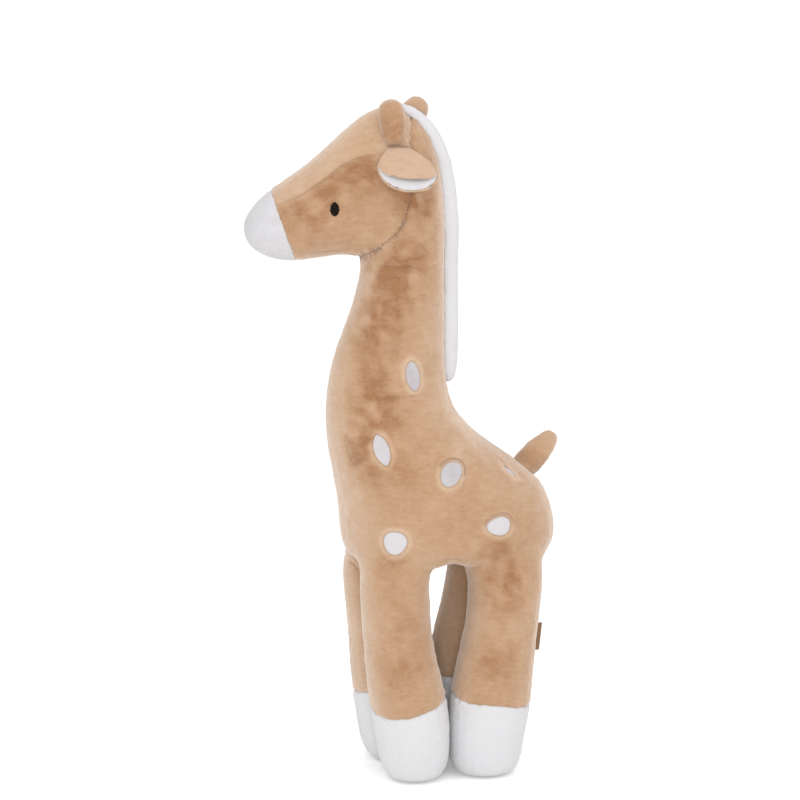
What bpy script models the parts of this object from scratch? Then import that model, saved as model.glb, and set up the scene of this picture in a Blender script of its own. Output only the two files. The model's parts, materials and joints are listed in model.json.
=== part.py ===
"""A standing plush giraffe, built from the stuffed forms and trims that it is sewn from.

The toy faces -Y, its left side is +X and its hooves stand on Z = 0. One stuffed form runs from
the belly up the neck and out to the nose, and is cut at its sewn seams into torso, neck, head and
muzzle. Each limb is one form too, cut into leg and hoof. All other pieces are seated on these.
"""

from math import cos, pi, radians, sin, sqrt, tan

import bmesh
import bpy
from mathutils import Matrix, Vector
from mathutils.bvhtree import BVHTree

# Driving dimensions of the body, in metres
LEG_HEIGHT = 0.155
TORSO_HEIGHT = 0.117
TORSO_LENGTH = 0.172
TORSO_WIDTH = 0.107
CHEST_REACH = 0.0608
NECK_HEIGHT = 0.116
NECK_DEPTH = 0.067
NECK_WIDTH = 0.063
NECK_AXIS_Y = -0.0025

# Driving dimensions of the head
HEAD_REACH = 0.1165
HEAD_HEIGHT = 0.1085
HEAD_WIDTH = 0.063
HEAD_TURN = radians(-12)
MUZZLE_LENGTH = 0.029
MUZZLE_DEPTH = 0.053
MUZZLE_WIDTH = 0.047
MUZZLE_TILT = radians(19.6)

# Driving dimensions of the limbs
LIMB_SPREAD = 0.0565
HOOF_WIDTH = 0.0525
FRONT_HOOF_LENGTH = 0.0585
REAR_HOOF_LENGTH = 0.0600
FRONT_HOOF_HEIGHT = 0.0550
REAR_HOOF_HEIGHT = 0.0555
FRONT_HOOF_REACH = 0.0358
FRONT_HOOF_TILT = radians(-4)
REAR_HOOF_TILT = radians(12.6)
HOOF_SIDE_TILT = radians(8)
HOOF_SPACE = 0.0006
FRONT_RIGHT_KNEE_SHIFT = -0.0022
REAR_RIGHT_KNEE_SHIFT = 0.0050

# Horns, ears, mane and tail
HORN_LENGTH = 0.0308
HORN_DIAMETER = 0.0200
HORN_SPREAD = 0.0350
HORN_SPLAY = radians(10)
EAR_LENGTH = 0.0408
EAR_WIDTH = 0.0405
EAR_LAYER = 0.0022
EAR_ARCH = 0.0015
EAR_DROOP = radians(44)
EAR_CRESCENT = 0.0105
MANE_WIDTH = 0.0140
MANE_RISE = 0.0111
TAIL_LENGTH = 0.0345
TAIL_DIAMETER = 0.0215
TAIL_RISE = radians(46)

# Small trims
SPOT_LENGTH = 0.0250
SPOT_THICKNESS = 0.0010
EYE_HEIGHT = 0.0100
EYE_WIDTH = 0.0066
EYE_THICKNESS = 0.0010
LABEL_HEIGHT = 0.0205
LABEL_REACH = 0.0040
LABEL_THICKNESS = 0.0018

# Clearances and depths
SEAM_GAP = 0.0003
TRIM_GAP = 0.0005
ROOT_GAP = 0.0006
EAR_STAND = 0.0009
SOLE_CUT = 0.0005
CUT_OVERRUN = 0.0500
WELD_DISTANCE = 0.00001

# Counts round the body form, a limb, a stub such as a horn, and a small trim
FORM_SIDES = 16
LIMB_SIDES = 12
STUB_SIDES = 10
TRIM_SIDES = 14
FORM_LEVELS = 1

# How square an oval section is: 2 is an ellipse, and more fills its corners
ROUND = 2.0
HEAD_SQUARENESS = 2.1
LEG_SQUARENESS = 2.1
HOOF_SQUARENESS = 2.2
MANE_SQUARENESS = 3.0

# Heights and places that follow from the sizes above
BELLY_Z = LEG_HEIGHT
COLLAR_Z = BELLY_Z + TORSO_HEIGHT
THROAT_Z = COLLAR_Z + NECK_HEIGHT
FRONT_LIMB_Y = -FRONT_HOOF_REACH
REAR_LIMB_Y = FRONT_LIMB_Y + FRONT_HOOF_LENGTH + HOOF_SPACE

# Rings of the torso: height, then front and back from the chest, then width and squareness
TORSO_SHARES = (
    (0.036, 0.290, 0.770, 0.48, 2.4),
    (0.046, 0.140, 0.930, 0.78, 2.6),
    (0.102, 0.076, 0.978, 0.93, 2.7),
    (0.210, 0.061, 0.996, 1.00, 2.6),
    (0.370, 0.056, 0.978, 1.01, 2.4),
    (0.520, 0.040, 0.942, 1.00, 2.3),
    (0.650, 0.022, 0.840, 0.96, 2.2),
    (0.770, 0.006, 0.706, 0.90, 2.2),
    (0.890, -0.003, 0.608, 0.82, 2.1),
)

# Rings of the neck: height, then front and back from the neck's axis, then width and squareness
NECK_SHARES = (
    (0.010, -0.893, 0.525, 1.20, 2.1),
    (0.130, -0.880, 0.458, 1.13, 2.1),
    (0.260, -0.845, 0.428, 1.08, 2.0),
    (0.410, -0.775, 0.424, 1.04, 2.0),
    (0.560, -0.662, 0.424, 1.01, 2.0),
    (0.710, -0.566, 0.422, 1.00, 2.0),
    (0.850, -0.502, 0.418, 1.00, 2.0),
    (0.960, -0.485, 0.414, 1.00, 2.0),
)

# Rings round the nape: chin and crown as reach and height of the head, width, and share of turn
NAPE_SHARES = (
    (0.262, 0.000, -0.246, 0.130, 1.00, 0.25),
    (0.280, 0.002, -0.236, 0.320, 1.00, 0.50),
    (0.300, 0.002, -0.227, 0.510, 1.00, 0.75),
    (0.325, 0.002, -0.198, 0.700, 0.98, 1.00),
    (0.355, 0.001, -0.134, 0.850, 0.94, 1.00),
    (0.390, 0.000, -0.035, 0.960, 0.90, 1.00),
)

# Rings of the head, chin and brow as reach and height of the head, then width
HEAD_SHARES = (
    (0.430, -0.001, 0.092, 1.005, 0.88),
    (0.480, -0.005, 0.235, 0.967, 0.90),
    (0.535, -0.012, 0.395, 0.828, 0.94),
    (0.590, -0.020, 0.545, 0.658, 0.95),
    (0.640, -0.027, 0.685, 0.555, 0.90),
)

# Rings of the muzzle, along its tilted axis from the seam: length, chin, brow and width
MUZZLE_SHARES = (
    (0.000, -0.520, 0.500, 1.06),
    (0.340, -0.455, 0.434, 0.98),
    (0.660, -0.340, 0.344, 0.80),
    (0.900, -0.190, 0.222, 0.52),
    (0.990, -0.070, 0.110, 0.22),
)

# Side outline of the seam between head and neck, as reach and height of the head
SEAM_SHARES = (
    (0.300, -0.075),
    (0.282, 0.000),
    (0.235, 0.028),
    (0.172, 0.070),
    (0.128, 0.112),
    (0.062, 0.175),
    (0.016, 0.262),
    (-0.008, 0.360),
    (-0.020, 0.560),
    (-0.024, 0.780),
    (-0.035, 1.000),
)

# Rings of a hoof: height of the hoof, then front, back and width of the hoof
FRONT_HOOF_SHARES = (
    (0.080, 0.190, 0.900, 0.88),
    (0.240, 0.122, 0.995, 0.98),
    (0.560, 0.065, 1.000, 1.01),
    (0.860, 0.028, 0.995, 1.00),
)
REAR_HOOF_SHARES = (
    (0.080, 0.070, 0.865, 0.88),
    (0.240, 0.012, 0.905, 0.98),
    (0.540, 0.000, 0.955, 1.01),
    (0.860, 0.010, 1.020, 1.00),
)

# Rings of a leg: height of the leg, front and back as shares of the hoof, width, and spread
FRONT_LEG_SHARES = (
    (0.440, -0.040, 0.925, 0.97, 1.00),
    (0.560, -0.070, 0.850, 0.94, 1.00),
    (0.700, -0.100, 0.750, 0.92, 0.99),
    (0.860, -0.120, 0.735, 0.93, 0.97),
    (1.000, -0.145, 0.765, 0.92, 0.92),
    (1.110, -0.080, 0.720, 0.80, 0.74),
    (1.180, 0.080, 0.580, 0.55, 0.60),
)
REAR_LEG_SHARES = (
    (0.450, 0.060, 1.055, 0.98, 1.00),
    (0.570, 0.125, 1.085, 0.96, 1.00),
    (0.700, 0.220, 1.120, 0.95, 0.99),
    (0.860, 0.270, 1.165, 0.96, 0.97),
    (1.000, 0.240, 1.215, 0.95, 0.92),
    (1.110, 0.260, 1.180, 0.80, 0.74),
    (1.180, 0.400, 1.000, 0.55, 0.60),
)
KNEE_SHARES = (0.5, 1.0, 0.9, 0.4, 0.0, 0.0, 0.0)
SOLE_SHARE = 0.76

# White spots on each side: the place inside the torso that the oval is thrown towards, as shares
# of the torso's length and height, then how tall and wide it is as shares of the longest spot
SPOT_SHARES = {
    "neck_spot": (0.319, 1.266, 0.90, 0.44),
    "chest_spot": (0.171, 0.822, 1.00, 0.48),
    "flank_spot": (0.459, 0.665, 0.78, 0.62),
    "shoulder_spot": (0.223, 0.239, 0.70, 0.63),
    "hip_spot": (0.668, 0.322, 0.56, 0.76),
    "rump_spot": (0.757, 0.195, 0.34, 0.76),
}

# How far a spot leans in the side view, and how far up the one on the rump faces
SPOT_LEANS = {"neck_spot": radians(9), "chest_spot": radians(15), "flank_spot": radians(-22)}
SPOT_PITCHES = {"rump_spot": radians(55)}

# Roughness and colours of the fabrics and threads
FABRIC_ROUGHNESS = 0.95
SMOOTH_ANGLE = radians(50)
COLOURS = {
    "tan_plush": (0.60, 0.36, 0.20),
    "white_plush": (0.86, 0.85, 0.84),
    "black_thread": (0.012, 0.009, 0.007),
    "brown_ribbon": (0.21, 0.12, 0.07),
}


# Scene and materials

def clear_scene():
    for old in list(bpy.data.objects):
        bpy.data.objects.remove(old)


def new_collection(name, hidden=False):
    collection = bpy.data.collections.new(name)
    bpy.context.scene.collection.children.link(collection)
    collection.hide_render = hidden
    return collection


def new_material(name, base):
    colour = COLOURS[base]
    material = bpy.data.materials.new(name)
    material.use_nodes = True
    shader = material.node_tree.nodes["Principled BSDF"]
    shader.inputs["Base Color"].default_value = (*colour, 1)
    shader.inputs["Roughness"].default_value = FABRIC_ROUGHNESS
    shader.inputs["Metallic"].default_value = 0
    material.diffuse_color = (*colour, 1)
    return material


def add_part(name, mesh, fabric, parent=None):
    """Put a mesh that is made in world places into the toy's collection, under its parent."""
    part = bpy.data.objects.new(name, mesh)
    mesh.materials.clear()
    mesh.materials.append(new_material(name + "_" + fabric, fabric))
    mesh.shade_smooth()
    mesh.set_sharp_from_angle(angle=SMOOTH_ANGLE)
    parts.objects.link(part)
    if parent is not None:
        part.parent = parent
        part.matrix_parent_inverse = parent.matrix_world.inverted()
    return part


def add_cutter(name, mesh):
    cutter = bpy.data.objects.new(name, mesh)
    cutter.hide_render = True
    cutter.display_type = "WIRE"
    cutters.objects.link(cutter)
    return cutter


def baked(item):
    """The object's mesh as its modifiers leave it, in world places."""
    bpy.context.view_layer.update()
    graph = bpy.context.evaluated_depsgraph_get()
    mesh = bpy.data.meshes.new_from_object(item.evaluated_get(graph))
    mesh.transform(item.matrix_world)
    return mesh


# Lofts through rings

def ring(front, back, half_width, squareness, sides, side_x=0.0):
    """Points round an oval whose front and back lie in the side view, as (y, z) pairs.

    The cage stands outside the oval by as much as one round of smoothing draws it in.
    """
    centre = Vector((side_x, (front[0] + back[0]) / 2, (front[1] + back[1]) / 2))
    swell = 6 / (4 + 2 * cos(2 * pi / sides))
    along = Vector((0, (front[0] - back[0]) / 2, (front[1] - back[1]) / 2)) * swell
    across = Vector((half_width * swell, 0, 0))
    points = []
    for index in range(sides):
        angle = 2 * pi * index / sides
        forward = abs(cos(angle)) ** (2 / squareness)
        sideways = abs(sin(angle)) ** (2 / squareness)
        if cos(angle) < 0:
            forward = -forward
        if sin(angle) < 0:
            sideways = -sideways
        points.append(centre + along * forward + across * sideways)
    return points


def loft(name, rings, levels=FORM_LEVELS):
    """A closed cage bridged through rings of equal counts, smoothed by subdivision."""
    cage = bmesh.new()
    loops = []
    for points in rings:
        made = bmesh.ops.create_circle(cage, segments=len(points), radius=1)["verts"]
        for vert, point in zip(made, points):
            vert.co = point
        loops.append(made)
    for lower, upper in zip(loops, loops[1:]):
        edges = loop_edges(lower) + loop_edges(upper)
        bmesh.ops.bridge_loops(cage, edges=edges)
    for loop in (loops[0], loops[-1]):
        bmesh.ops.contextual_create(cage, geom=loop + loop_edges(loop))
    bmesh.ops.recalc_face_normals(cage, faces=cage.faces)
    mesh = bpy.data.meshes.new(name)
    cage.to_mesh(mesh)
    cage.free()
    form = add_cutter(name, mesh)
    smooth = form.modifiers.new("smooth", "SUBSURF")
    smooth.levels = levels
    smooth.render_levels = levels
    return form


def loop_edges(loop):
    around = set(loop)
    edges = {edge for vert in loop for edge in vert.link_edges if edge.other_vert(vert) in around}
    return list(edges)


# Cuts

def grown(name, form, gap):
    """A cutter that stands the gap proud of a form."""
    cutter = add_cutter(name, baked(form))
    swell = cutter.modifiers.new("gap", "DISPLACE")
    swell.strength = gap
    swell.mid_level = 0
    return cutter


def trimmed(mesh, cutter, operation="DIFFERENCE"):
    """The mesh left when a cutter is taken off it, or when only what lies in the cutter stays."""
    blank = add_cutter("blank", mesh)
    cut = blank.modifiers.new("cut", "BOOLEAN")
    cut.object = cutter
    cut.operation = operation
    result = baked(blank)
    bpy.data.objects.remove(blank)
    return result


def sliced(mesh, point, normal):
    """The part of a mesh that lies on the normal's side of a plane, closed by a flat face."""
    work = bmesh.new()
    work.from_mesh(mesh)
    geometry = work.verts[:] + work.edges[:] + work.faces[:]
    bmesh.ops.bisect_plane(
        work, geom=geometry, plane_co=point, plane_no=normal, clear_inner=True
    )
    rim = [edge for edge in work.edges if edge.is_boundary]
    bmesh.ops.holes_fill(work, edges=rim, sides=0)
    result = bpy.data.meshes.new(mesh.name)
    work.to_mesh(result)
    work.free()
    return result


def turn_matrix(share=1.0):
    """Turns a place in the straight head to where the turned head holds it."""
    axis = Vector((0, NECK_AXIS_Y, 0))
    turn = Matrix.Rotation(HEAD_TURN * share, 4, "Z")
    return Matrix.Translation(axis) @ turn @ Matrix.Translation(-axis)


def head_yz(reach_share, height_share):
    """A place in the straight head's side view."""
    y = NECK_AXIS_Y - reach_share * HEAD_REACH
    z = THROAT_Z + height_share * HEAD_HEIGHT
    return y, z


def head_point(side_x, reach_share, height_share):
    y, z = head_yz(reach_share, height_share)
    return turn_matrix() @ Vector((side_x, y, z))


def skin_point(inside, direction):
    """Where a line that starts inside the body form comes out of its skin."""
    work = bmesh.new()
    work.from_mesh(baked(body_form))
    tree = BVHTree.FromBMesh(work)
    work.free()
    outside = inside + direction * (TORSO_LENGTH + HEAD_REACH)
    return tree.ray_cast(outside, -direction)[0]


# Places of the muzzle seam, in the straight head
MUZZLE_FORWARD = Vector((0, -cos(MUZZLE_TILT), -sin(MUZZLE_TILT)))
MUZZLE_UP = Vector((0, -sin(MUZZLE_TILT), cos(MUZZLE_TILT)))
MUZZLE_TIP_Y = NECK_AXIS_Y - HEAD_REACH
MUZZLE_SEAM_HEIGHT_SHARE = 0.205


def muzzle_seam_point():
    """The middle of the muzzle seam, set back from the nose along the tilted axis."""
    y = MUZZLE_TIP_Y + MUZZLE_LENGTH * cos(MUZZLE_TILT)
    z = THROAT_Z + MUZZLE_SEAM_HEIGHT_SHARE * HEAD_HEIGHT
    return Vector((0, y, z))


def muzzle_yz(length_share, depth_share):
    place = muzzle_seam_point()
    place = place + MUZZLE_FORWARD * length_share * MUZZLE_LENGTH
    place = place + MUZZLE_UP * depth_share * MUZZLE_DEPTH
    return place.y, place.z


# The body form, from belly to nose

def body_rings():
    rings = []
    for height, front, back, width, square in TORSO_SHARES:
        z = BELLY_Z + height * TORSO_HEIGHT
        start = (-CHEST_REACH + front * TORSO_LENGTH, z)
        end = (-CHEST_REACH + back * TORSO_LENGTH, z)
        rings.append(ring(start, end, width * TORSO_WIDTH / 2, square, FORM_SIDES))
    for height, front, back, width, square in NECK_SHARES:
        z = COLLAR_Z + height * NECK_HEIGHT
        start = (NECK_AXIS_Y + front * NECK_DEPTH, z)
        end = (NECK_AXIS_Y + back * NECK_DEPTH, z)
        rings.append(ring(start, end, width * NECK_WIDTH / 2, square, FORM_SIDES))
    for chin_reach, chin, crown_reach, crown, width, turn in NAPE_SHARES:
        start = head_yz(chin_reach, chin)
        end = head_yz(crown_reach, crown)
        points = ring(start, end, width * HEAD_WIDTH / 2, ROUND, FORM_SIDES)
        rings.append([turn_matrix(turn) @ point for point in points])
    for chin_reach, chin, brow_reach, brow, width in HEAD_SHARES:
        start = head_yz(chin_reach, chin)
        end = head_yz(brow_reach, brow)
        points = ring(start, end, width * HEAD_WIDTH / 2, HEAD_SQUARENESS, FORM_SIDES)
        rings.append([turn_matrix() @ point for point in points])
    for length, chin, brow, width in MUZZLE_SHARES:
        start = muzzle_yz(length, chin)
        end = muzzle_yz(length, brow)
        points = ring(start, end, width * MUZZLE_WIDTH / 2, HEAD_SQUARENESS, FORM_SIDES)
        rings.append([turn_matrix() @ point for point in points])
    return rings


def seam_tool(name, shift):
    """A slab that holds everything behind and below the seam between head and neck."""
    outline = []
    for reach, height in SEAM_SHARES:
        y, z = head_yz(reach, height)
        outline.append((y - shift, z + shift))
    first_y, first_z = outline[0]
    last_y, last_z = outline[-1]
    low_z = COLLAR_Z - CUT_OVERRUN
    far_y = NECK_AXIS_Y + NECK_DEPTH + CUT_OVERRUN
    corners_after = [(last_y, last_z + CUT_OVERRUN), (far_y, last_z + CUT_OVERRUN), (far_y, low_z)]
    corners_before = [(-CHEST_REACH - CUT_OVERRUN, low_z), (-CHEST_REACH - CUT_OVERRUN, first_z)]
    points = corners_before + outline + corners_after
    curve = bpy.data.curves.new(name, "CURVE")
    curve.dimensions = "2D"
    curve.fill_mode = "BOTH"
    curve.extrude = HEAD_WIDTH
    line = curve.splines.new("POLY")
    line.points.add(len(points) - 1)
    for point, (y, z) in zip(line.points, points):
        point.co = (y, z, 0, 1)
    line.use_cyclic_u = True
    flat = bpy.data.objects.new(name, curve)
    cutters.objects.link(flat)
    stand = Matrix(((0, 0, 1, 0), (1, 0, 0, 0), (0, 1, 0, 0), (0, 0, 0, 1)))
    flat.matrix_world = turn_matrix() @ stand
    mesh = baked(flat)
    bpy.data.objects.remove(flat)
    work = bmesh.new()
    work.from_mesh(mesh)
    bmesh.ops.remove_doubles(work, verts=work.verts, dist=WELD_DISTANCE)
    bmesh.ops.recalc_face_normals(work, faces=work.faces)
    work.to_mesh(mesh)
    work.free()
    return add_cutter(name, mesh)


def make_body(form):
    """Torso, neck, head and muzzle, cut from the one form at their seams."""
    whole = baked(form)
    up = Vector((0, 0, 1))
    half_gap = SEAM_GAP / 2
    collar = Vector((0, 0, COLLAR_Z))
    torso = sliced(whole, collar - up * half_gap, -up)
    above = sliced(whole, collar + up * half_gap, up)
    neck = trimmed(above, seam_tool("neck_seam", 0), "INTERSECT")
    face = trimmed(above.copy(), seam_tool("face_seam", SEAM_GAP))
    seam = turn_matrix() @ muzzle_seam_point()
    forward = turn_matrix().to_3x3() @ MUZZLE_FORWARD
    head = sliced(face, seam - forward * half_gap, -forward)
    muzzle = sliced(face, seam + forward * half_gap, forward)
    torso = trimmed(torso, tail_seat())
    add_part("torso", torso, "tan_plush")
    add_part("neck", neck, "tan_plush")
    add_part("head", head, "tan_plush")
    add_part("muzzle", muzzle, "white_plush")


# Limbs

def limb_rings(limb_y, hoof_height, hoof_length, hoof_shares, leg_shares, side, knee_shift):
    """Rings from under the sole to the top of the leg inside the body."""
    middle_x = side * LIMB_SPREAD / 2
    sole_height, sole_front, sole_back, sole_width = hoof_shares[0]
    tread = (sole_front + sole_back) / 2
    half_tread = SOLE_SHARE * (sole_back - sole_front) / 2
    half_width = SOLE_SHARE * sole_width * HOOF_WIDTH / 2
    rings = []
    start = (limb_y + (tread - half_tread) * hoof_length, -SOLE_CUT)
    end = (limb_y + (tread + half_tread) * hoof_length, -SOLE_CUT)
    rings.append(ring(start, end, half_width, ROUND, LIMB_SIDES, middle_x))
    for height, front, back, width in hoof_shares:
        z = height * hoof_height
        start = (limb_y + front * hoof_length, z)
        end = (limb_y + back * hoof_length, z)
        half_width = width * HOOF_WIDTH / 2
        rings.append(ring(start, end, half_width, HOOF_SQUARENESS, LIMB_SIDES, middle_x))
    for (height, front, back, width, spread), knee in zip(leg_shares, KNEE_SHARES):
        z = height * LEG_HEIGHT
        start = (limb_y + front * hoof_length - knee * knee_shift, z)
        end = (limb_y + back * hoof_length, z)
        half_width = width * HOOF_WIDTH / 2
        rings.append(ring(start, end, half_width, LEG_SQUARENESS, LIMB_SIDES, spread * middle_x))
    return rings


# Each pair of limbs: where it starts, the size and outline of its hoof and leg, and the seam's tilt
LIMB_PAIRS = {
    "front": (FRONT_LIMB_Y, FRONT_HOOF_HEIGHT, FRONT_HOOF_LENGTH,
              FRONT_HOOF_SHARES, FRONT_LEG_SHARES, FRONT_HOOF_TILT),
    "rear": (REAR_LIMB_Y, REAR_HOOF_HEIGHT, REAR_HOOF_LENGTH,
             REAR_HOOF_SHARES, REAR_LEG_SHARES, REAR_HOOF_TILT),
}


def make_limb(pair, side_name, side, cutter, knee_shift=0.0):
    """A leg with its hoof, cut off at the body, at the hoof seam and flat at the sole."""
    limb_y, hoof_height, hoof_length, hoof_shares, leg_shares, fore_tilt = LIMB_PAIRS[pair]
    name = pair + "_" + side_name
    rings = limb_rings(
        limb_y, hoof_height, hoof_length, hoof_shares, leg_shares, side, knee_shift
    )
    form = loft(name + "_form", rings)
    whole = sliced(baked(form), Vector((0, 0, 0)), Vector((0, 0, 1)))
    whole = trimmed(whole, cutter)
    seam = Vector((side * LIMB_SPREAD / 2, limb_y + hoof_length / 2, hoof_height))
    normal = Vector((side * tan(HOOF_SIDE_TILT), tan(fore_tilt), 1)).normalized()
    leg = sliced(whole, seam + normal * SEAM_GAP / 2, normal)
    hoof = sliced(whole, seam - normal * SEAM_GAP / 2, -normal)
    add_part(name + "_leg", leg, "tan_plush")
    add_part(name + "_hoof", hoof, "white_plush")
    return form


# Horns: the root as reach and height of the head, the outline as height and width, and the lean

HORN_ROOT_SHARES = {"left": (0.072, 0.784), "right": (0.016, 0.796)}
HORN_SHARES = ((0.00, 0.60), (0.20, 0.94), (0.55, 1.00), (0.84, 0.86), (0.97, 0.50))
HORN_LEANS = {"left": radians(9), "right": radians(-30)}


def make_horn(side_name, side, cutter):
    """A stuffed stub that stands on the head beside the crown, leaning its own way."""
    rings = []
    lean = HORN_LEANS[side_name]
    for height, width in HORN_SHARES:
        radius = width * HORN_DIAMETER / 2
        z = height * HORN_LENGTH
        rings.append(ring((-radius, z), (radius, z), radius, ROUND, STUB_SIDES))
    root = head_point(side * HORN_SPREAD / 2, *HORN_ROOT_SHARES[side_name])
    place = Matrix.Translation(root) @ Matrix.Rotation(HEAD_TURN, 4, "Z")
    place = place @ Matrix.Rotation(side * HORN_SPLAY, 4, "Y") @ Matrix.Rotation(lean, 4, "X")
    form = loft(side_name + "_horn_form", [[place @ point for point in loop] for loop in rings])
    add_part(side_name + "_horn", trimmed(baked(form), cutter), "tan_plush")


# Ears

EAR_ROOT_SHARES = (0.060, 0.750)
EAR_SWEEP = radians(15)
EAR_ROOT_RADIUS = EAR_LAYER + SEAM_GAP
EAR_ROOT_WIDTH_SHARE = 0.38
EAR_WIDEST_SHARE = 0.50
EAR_TIP_SHARE = 0.985
EAR_TAPER = 1.6
EAR_ROWS = 9
EAR_COLUMNS = 7


def ear_width_share(length_share):
    """The leaf widens from its gathered root and closes in a round tip."""
    if length_share < EAR_WIDEST_SHARE:
        toward_root = (EAR_WIDEST_SHARE - length_share) / EAR_WIDEST_SHARE
        return 1 - (1 - EAR_ROOT_WIDTH_SHARE) * toward_root ** EAR_TAPER
    toward_tip = (length_share - EAR_WIDEST_SHARE) / (1 - EAR_WIDEST_SHARE)
    return sqrt(1 - toward_tip ** 2)


def ear_layer(name, start, length, depth, outward):
    """One leaf of the ear: a sheet that runs from the root, arched across, then thickened."""
    sheet = bmesh.new()
    made = bmesh.ops.create_grid(
        sheet, x_segments=EAR_ROWS, y_segments=EAR_COLUMNS, size=1
    )["verts"]
    for vert in made:
        row_share = (vert.co.x + 1) / 2
        length_share = EAR_TIP_SHARE * sin(row_share * pi / 2)
        along = start + length_share * (length - start)
        across = vert.co.y * ear_width_share(length_share)
        aside = across * EAR_WIDTH / 2 + length_share * length * tan(EAR_SWEEP)
        vert.co = (along, aside, -depth - EAR_ARCH * across ** 2)
    mesh = bpy.data.meshes.new(name)
    sheet.to_mesh(mesh)
    sheet.free()
    leaf = add_cutter(name, mesh)
    thick = leaf.modifiers.new("thick", "SOLIDIFY")
    thick.thickness = EAR_LAYER
    thick.offset = outward
    return leaf


def ear_roll(name):
    """The seam allowance rolled along the root, round the line that the ear turns on."""
    work = bmesh.new()
    bmesh.ops.create_cone(
        work, cap_ends=True, segments=TRIM_SIDES, radius1=EAR_ROOT_RADIUS,
        radius2=EAR_ROOT_RADIUS, depth=EAR_ROOT_WIDTH_SHARE * EAR_WIDTH
    )
    bmesh.ops.rotate(work, verts=work.verts, matrix=Matrix.Rotation(pi / 2, 3, "X"))
    mesh = bpy.data.meshes.new(name)
    work.to_mesh(mesh)
    work.free()
    return add_cutter(name, mesh)


def make_ear(side_name, side, joint):
    """Two sewn leaves, the tan back over a longer white lining, hung from a rolled root."""
    droop = Matrix.Rotation(EAR_DROOP, 4, "Y")
    mirror = Matrix.Diagonal((side, 1, 1, 1))
    place = joint.matrix_world @ mirror @ droop
    back_start = EAR_ROOT_RADIUS / 2
    lining_start = EAR_ROOT_RADIUS + ROOT_GAP
    back_length = EAR_LENGTH - EAR_CRESCENT
    back = ear_layer(side_name + "_back", back_start, back_length, 0, 1)
    lining = ear_layer(side_name + "_lining", lining_start, EAR_LENGTH, ROOT_GAP, -1)
    rolled = trimmed(baked(back), ear_roll(side_name + "_roll"), "UNION")
    for mesh, name, fabric in (
        (rolled, side_name + "_ear_back", "tan_plush"),
        (baked(lining), side_name + "_ear_lining", "white_plush"),
    ):
        mesh.transform(place)
        if side < 0:
            mesh.flip_normals()
        add_part(name, mesh, fabric, joint)


def ear_joint(side_name, side):
    """An empty on the line of the ear's root, from front to back of the head."""
    joint = bpy.data.objects.new(side_name + "_ear_root", None)
    parts.objects.link(joint)
    turn = Matrix.Rotation(HEAD_TURN, 4, "Z")
    outward = turn @ Vector((side, 0, 0))
    skin = skin_point(head_point(0, *EAR_ROOT_SHARES), outward)
    root = skin + outward * (EAR_ROOT_RADIUS + EAR_STAND)
    joint.matrix_world = Matrix.Translation(root) @ turn
    bpy.context.view_layer.update()
    return joint


# Mane: its foot as height of the neck and back from the neck's axis, its front end as reach and
# height of the head, and the shares of its full rise at the foot, upwards, and over the crown

MANE_FOOT_SHARES = (0.165, 0.446)
MANE_FRONT_SHARES = (0.10, 0.99)
MANE_FOOT_RISE_SHARES = (0.55, 0.92)
MANE_CROWN_RISE_SHARES = (0.95, 0.84, 0.68, 0.52, 0.42, 0.30)


def mane_rings():
    """Round-cornered sections from the foot of the neck up its back and over the crown."""
    foot_height, foot_back = MANE_FOOT_SHARES
    backs = [(foot_height, foot_back)]
    backs += [(height, back) for height, _, back, _, _ in NECK_SHARES if height > foot_height]
    spine = []
    for height, back in backs:
        spine.append((NECK_AXIS_Y + back * NECK_DEPTH, COLLAR_Z + height * NECK_HEIGHT, 0.0))
    for chin_reach, chin, crown_reach, crown, width, turn in NAPE_SHARES:
        y, z = head_yz(crown_reach, crown)
        spine.append((y, z, turn))
    y, z = head_yz(*MANE_FRONT_SHARES)
    spine.append((y, z, 1.0))
    middle = len(spine) - len(MANE_FOOT_RISE_SHARES) - len(MANE_CROWN_RISE_SHARES)
    rises = MANE_FOOT_RISE_SHARES + (1.0,) * middle + MANE_CROWN_RISE_SHARES
    rings = []
    for index, (y, z, turn) in enumerate(spine):
        before = spine[max(index - 1, 0)]
        after = spine[min(index + 1, len(spine) - 1)]
        run = Vector((0, after[0] - before[0], after[1] - before[1])).normalized()
        out = Vector((0, run.z, -run.y))
        outer = Vector((0, y, z)) + out * MANE_RISE * rises[index]
        inner = Vector((0, y, z)) - out * MANE_RISE / 2
        points = ring((outer.y, outer.z), (inner.y, inner.z), MANE_WIDTH / 2,
                      MANE_SQUARENESS, STUB_SIDES)
        rings.append([turn_matrix(turn) @ point for point in points])
    return rings


def make_mane(cutter):
    form = loft("mane_form", mane_rings())
    add_part("mane", trimmed(baked(form), cutter), "white_plush")


# Tail

TAIL_AIM_SHARES = (0.800, 0.492)
TAIL_SHARES = ((0.30, 0.94), (0.60, 0.80), (0.86, 0.60), (0.98, 0.33))
TAIL_BALL_RINGS = 3


def tail_root():
    """Where the tail's line comes out of the rump."""
    reach, height = TAIL_AIM_SHARES
    aim = Vector((0, -CHEST_REACH + reach * TORSO_LENGTH, BELLY_Z + height * TORSO_HEIGHT))
    return skin_point(aim, Vector((0, cos(TAIL_RISE), sin(TAIL_RISE))))


def tail_seat():
    """The dimple in the rump that the tail's round root sits in."""
    work = bmesh.new()
    bmesh.ops.create_uvsphere(
        work, u_segments=FORM_SIDES, v_segments=STUB_SIDES, radius=TAIL_DIAMETER / 2 + ROOT_GAP
    )
    bmesh.ops.translate(work, verts=work.verts, vec=tail_root())
    mesh = bpy.data.meshes.new("tail_seat")
    work.to_mesh(mesh)
    work.free()
    return add_cutter("tail_seat", mesh)


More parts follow.
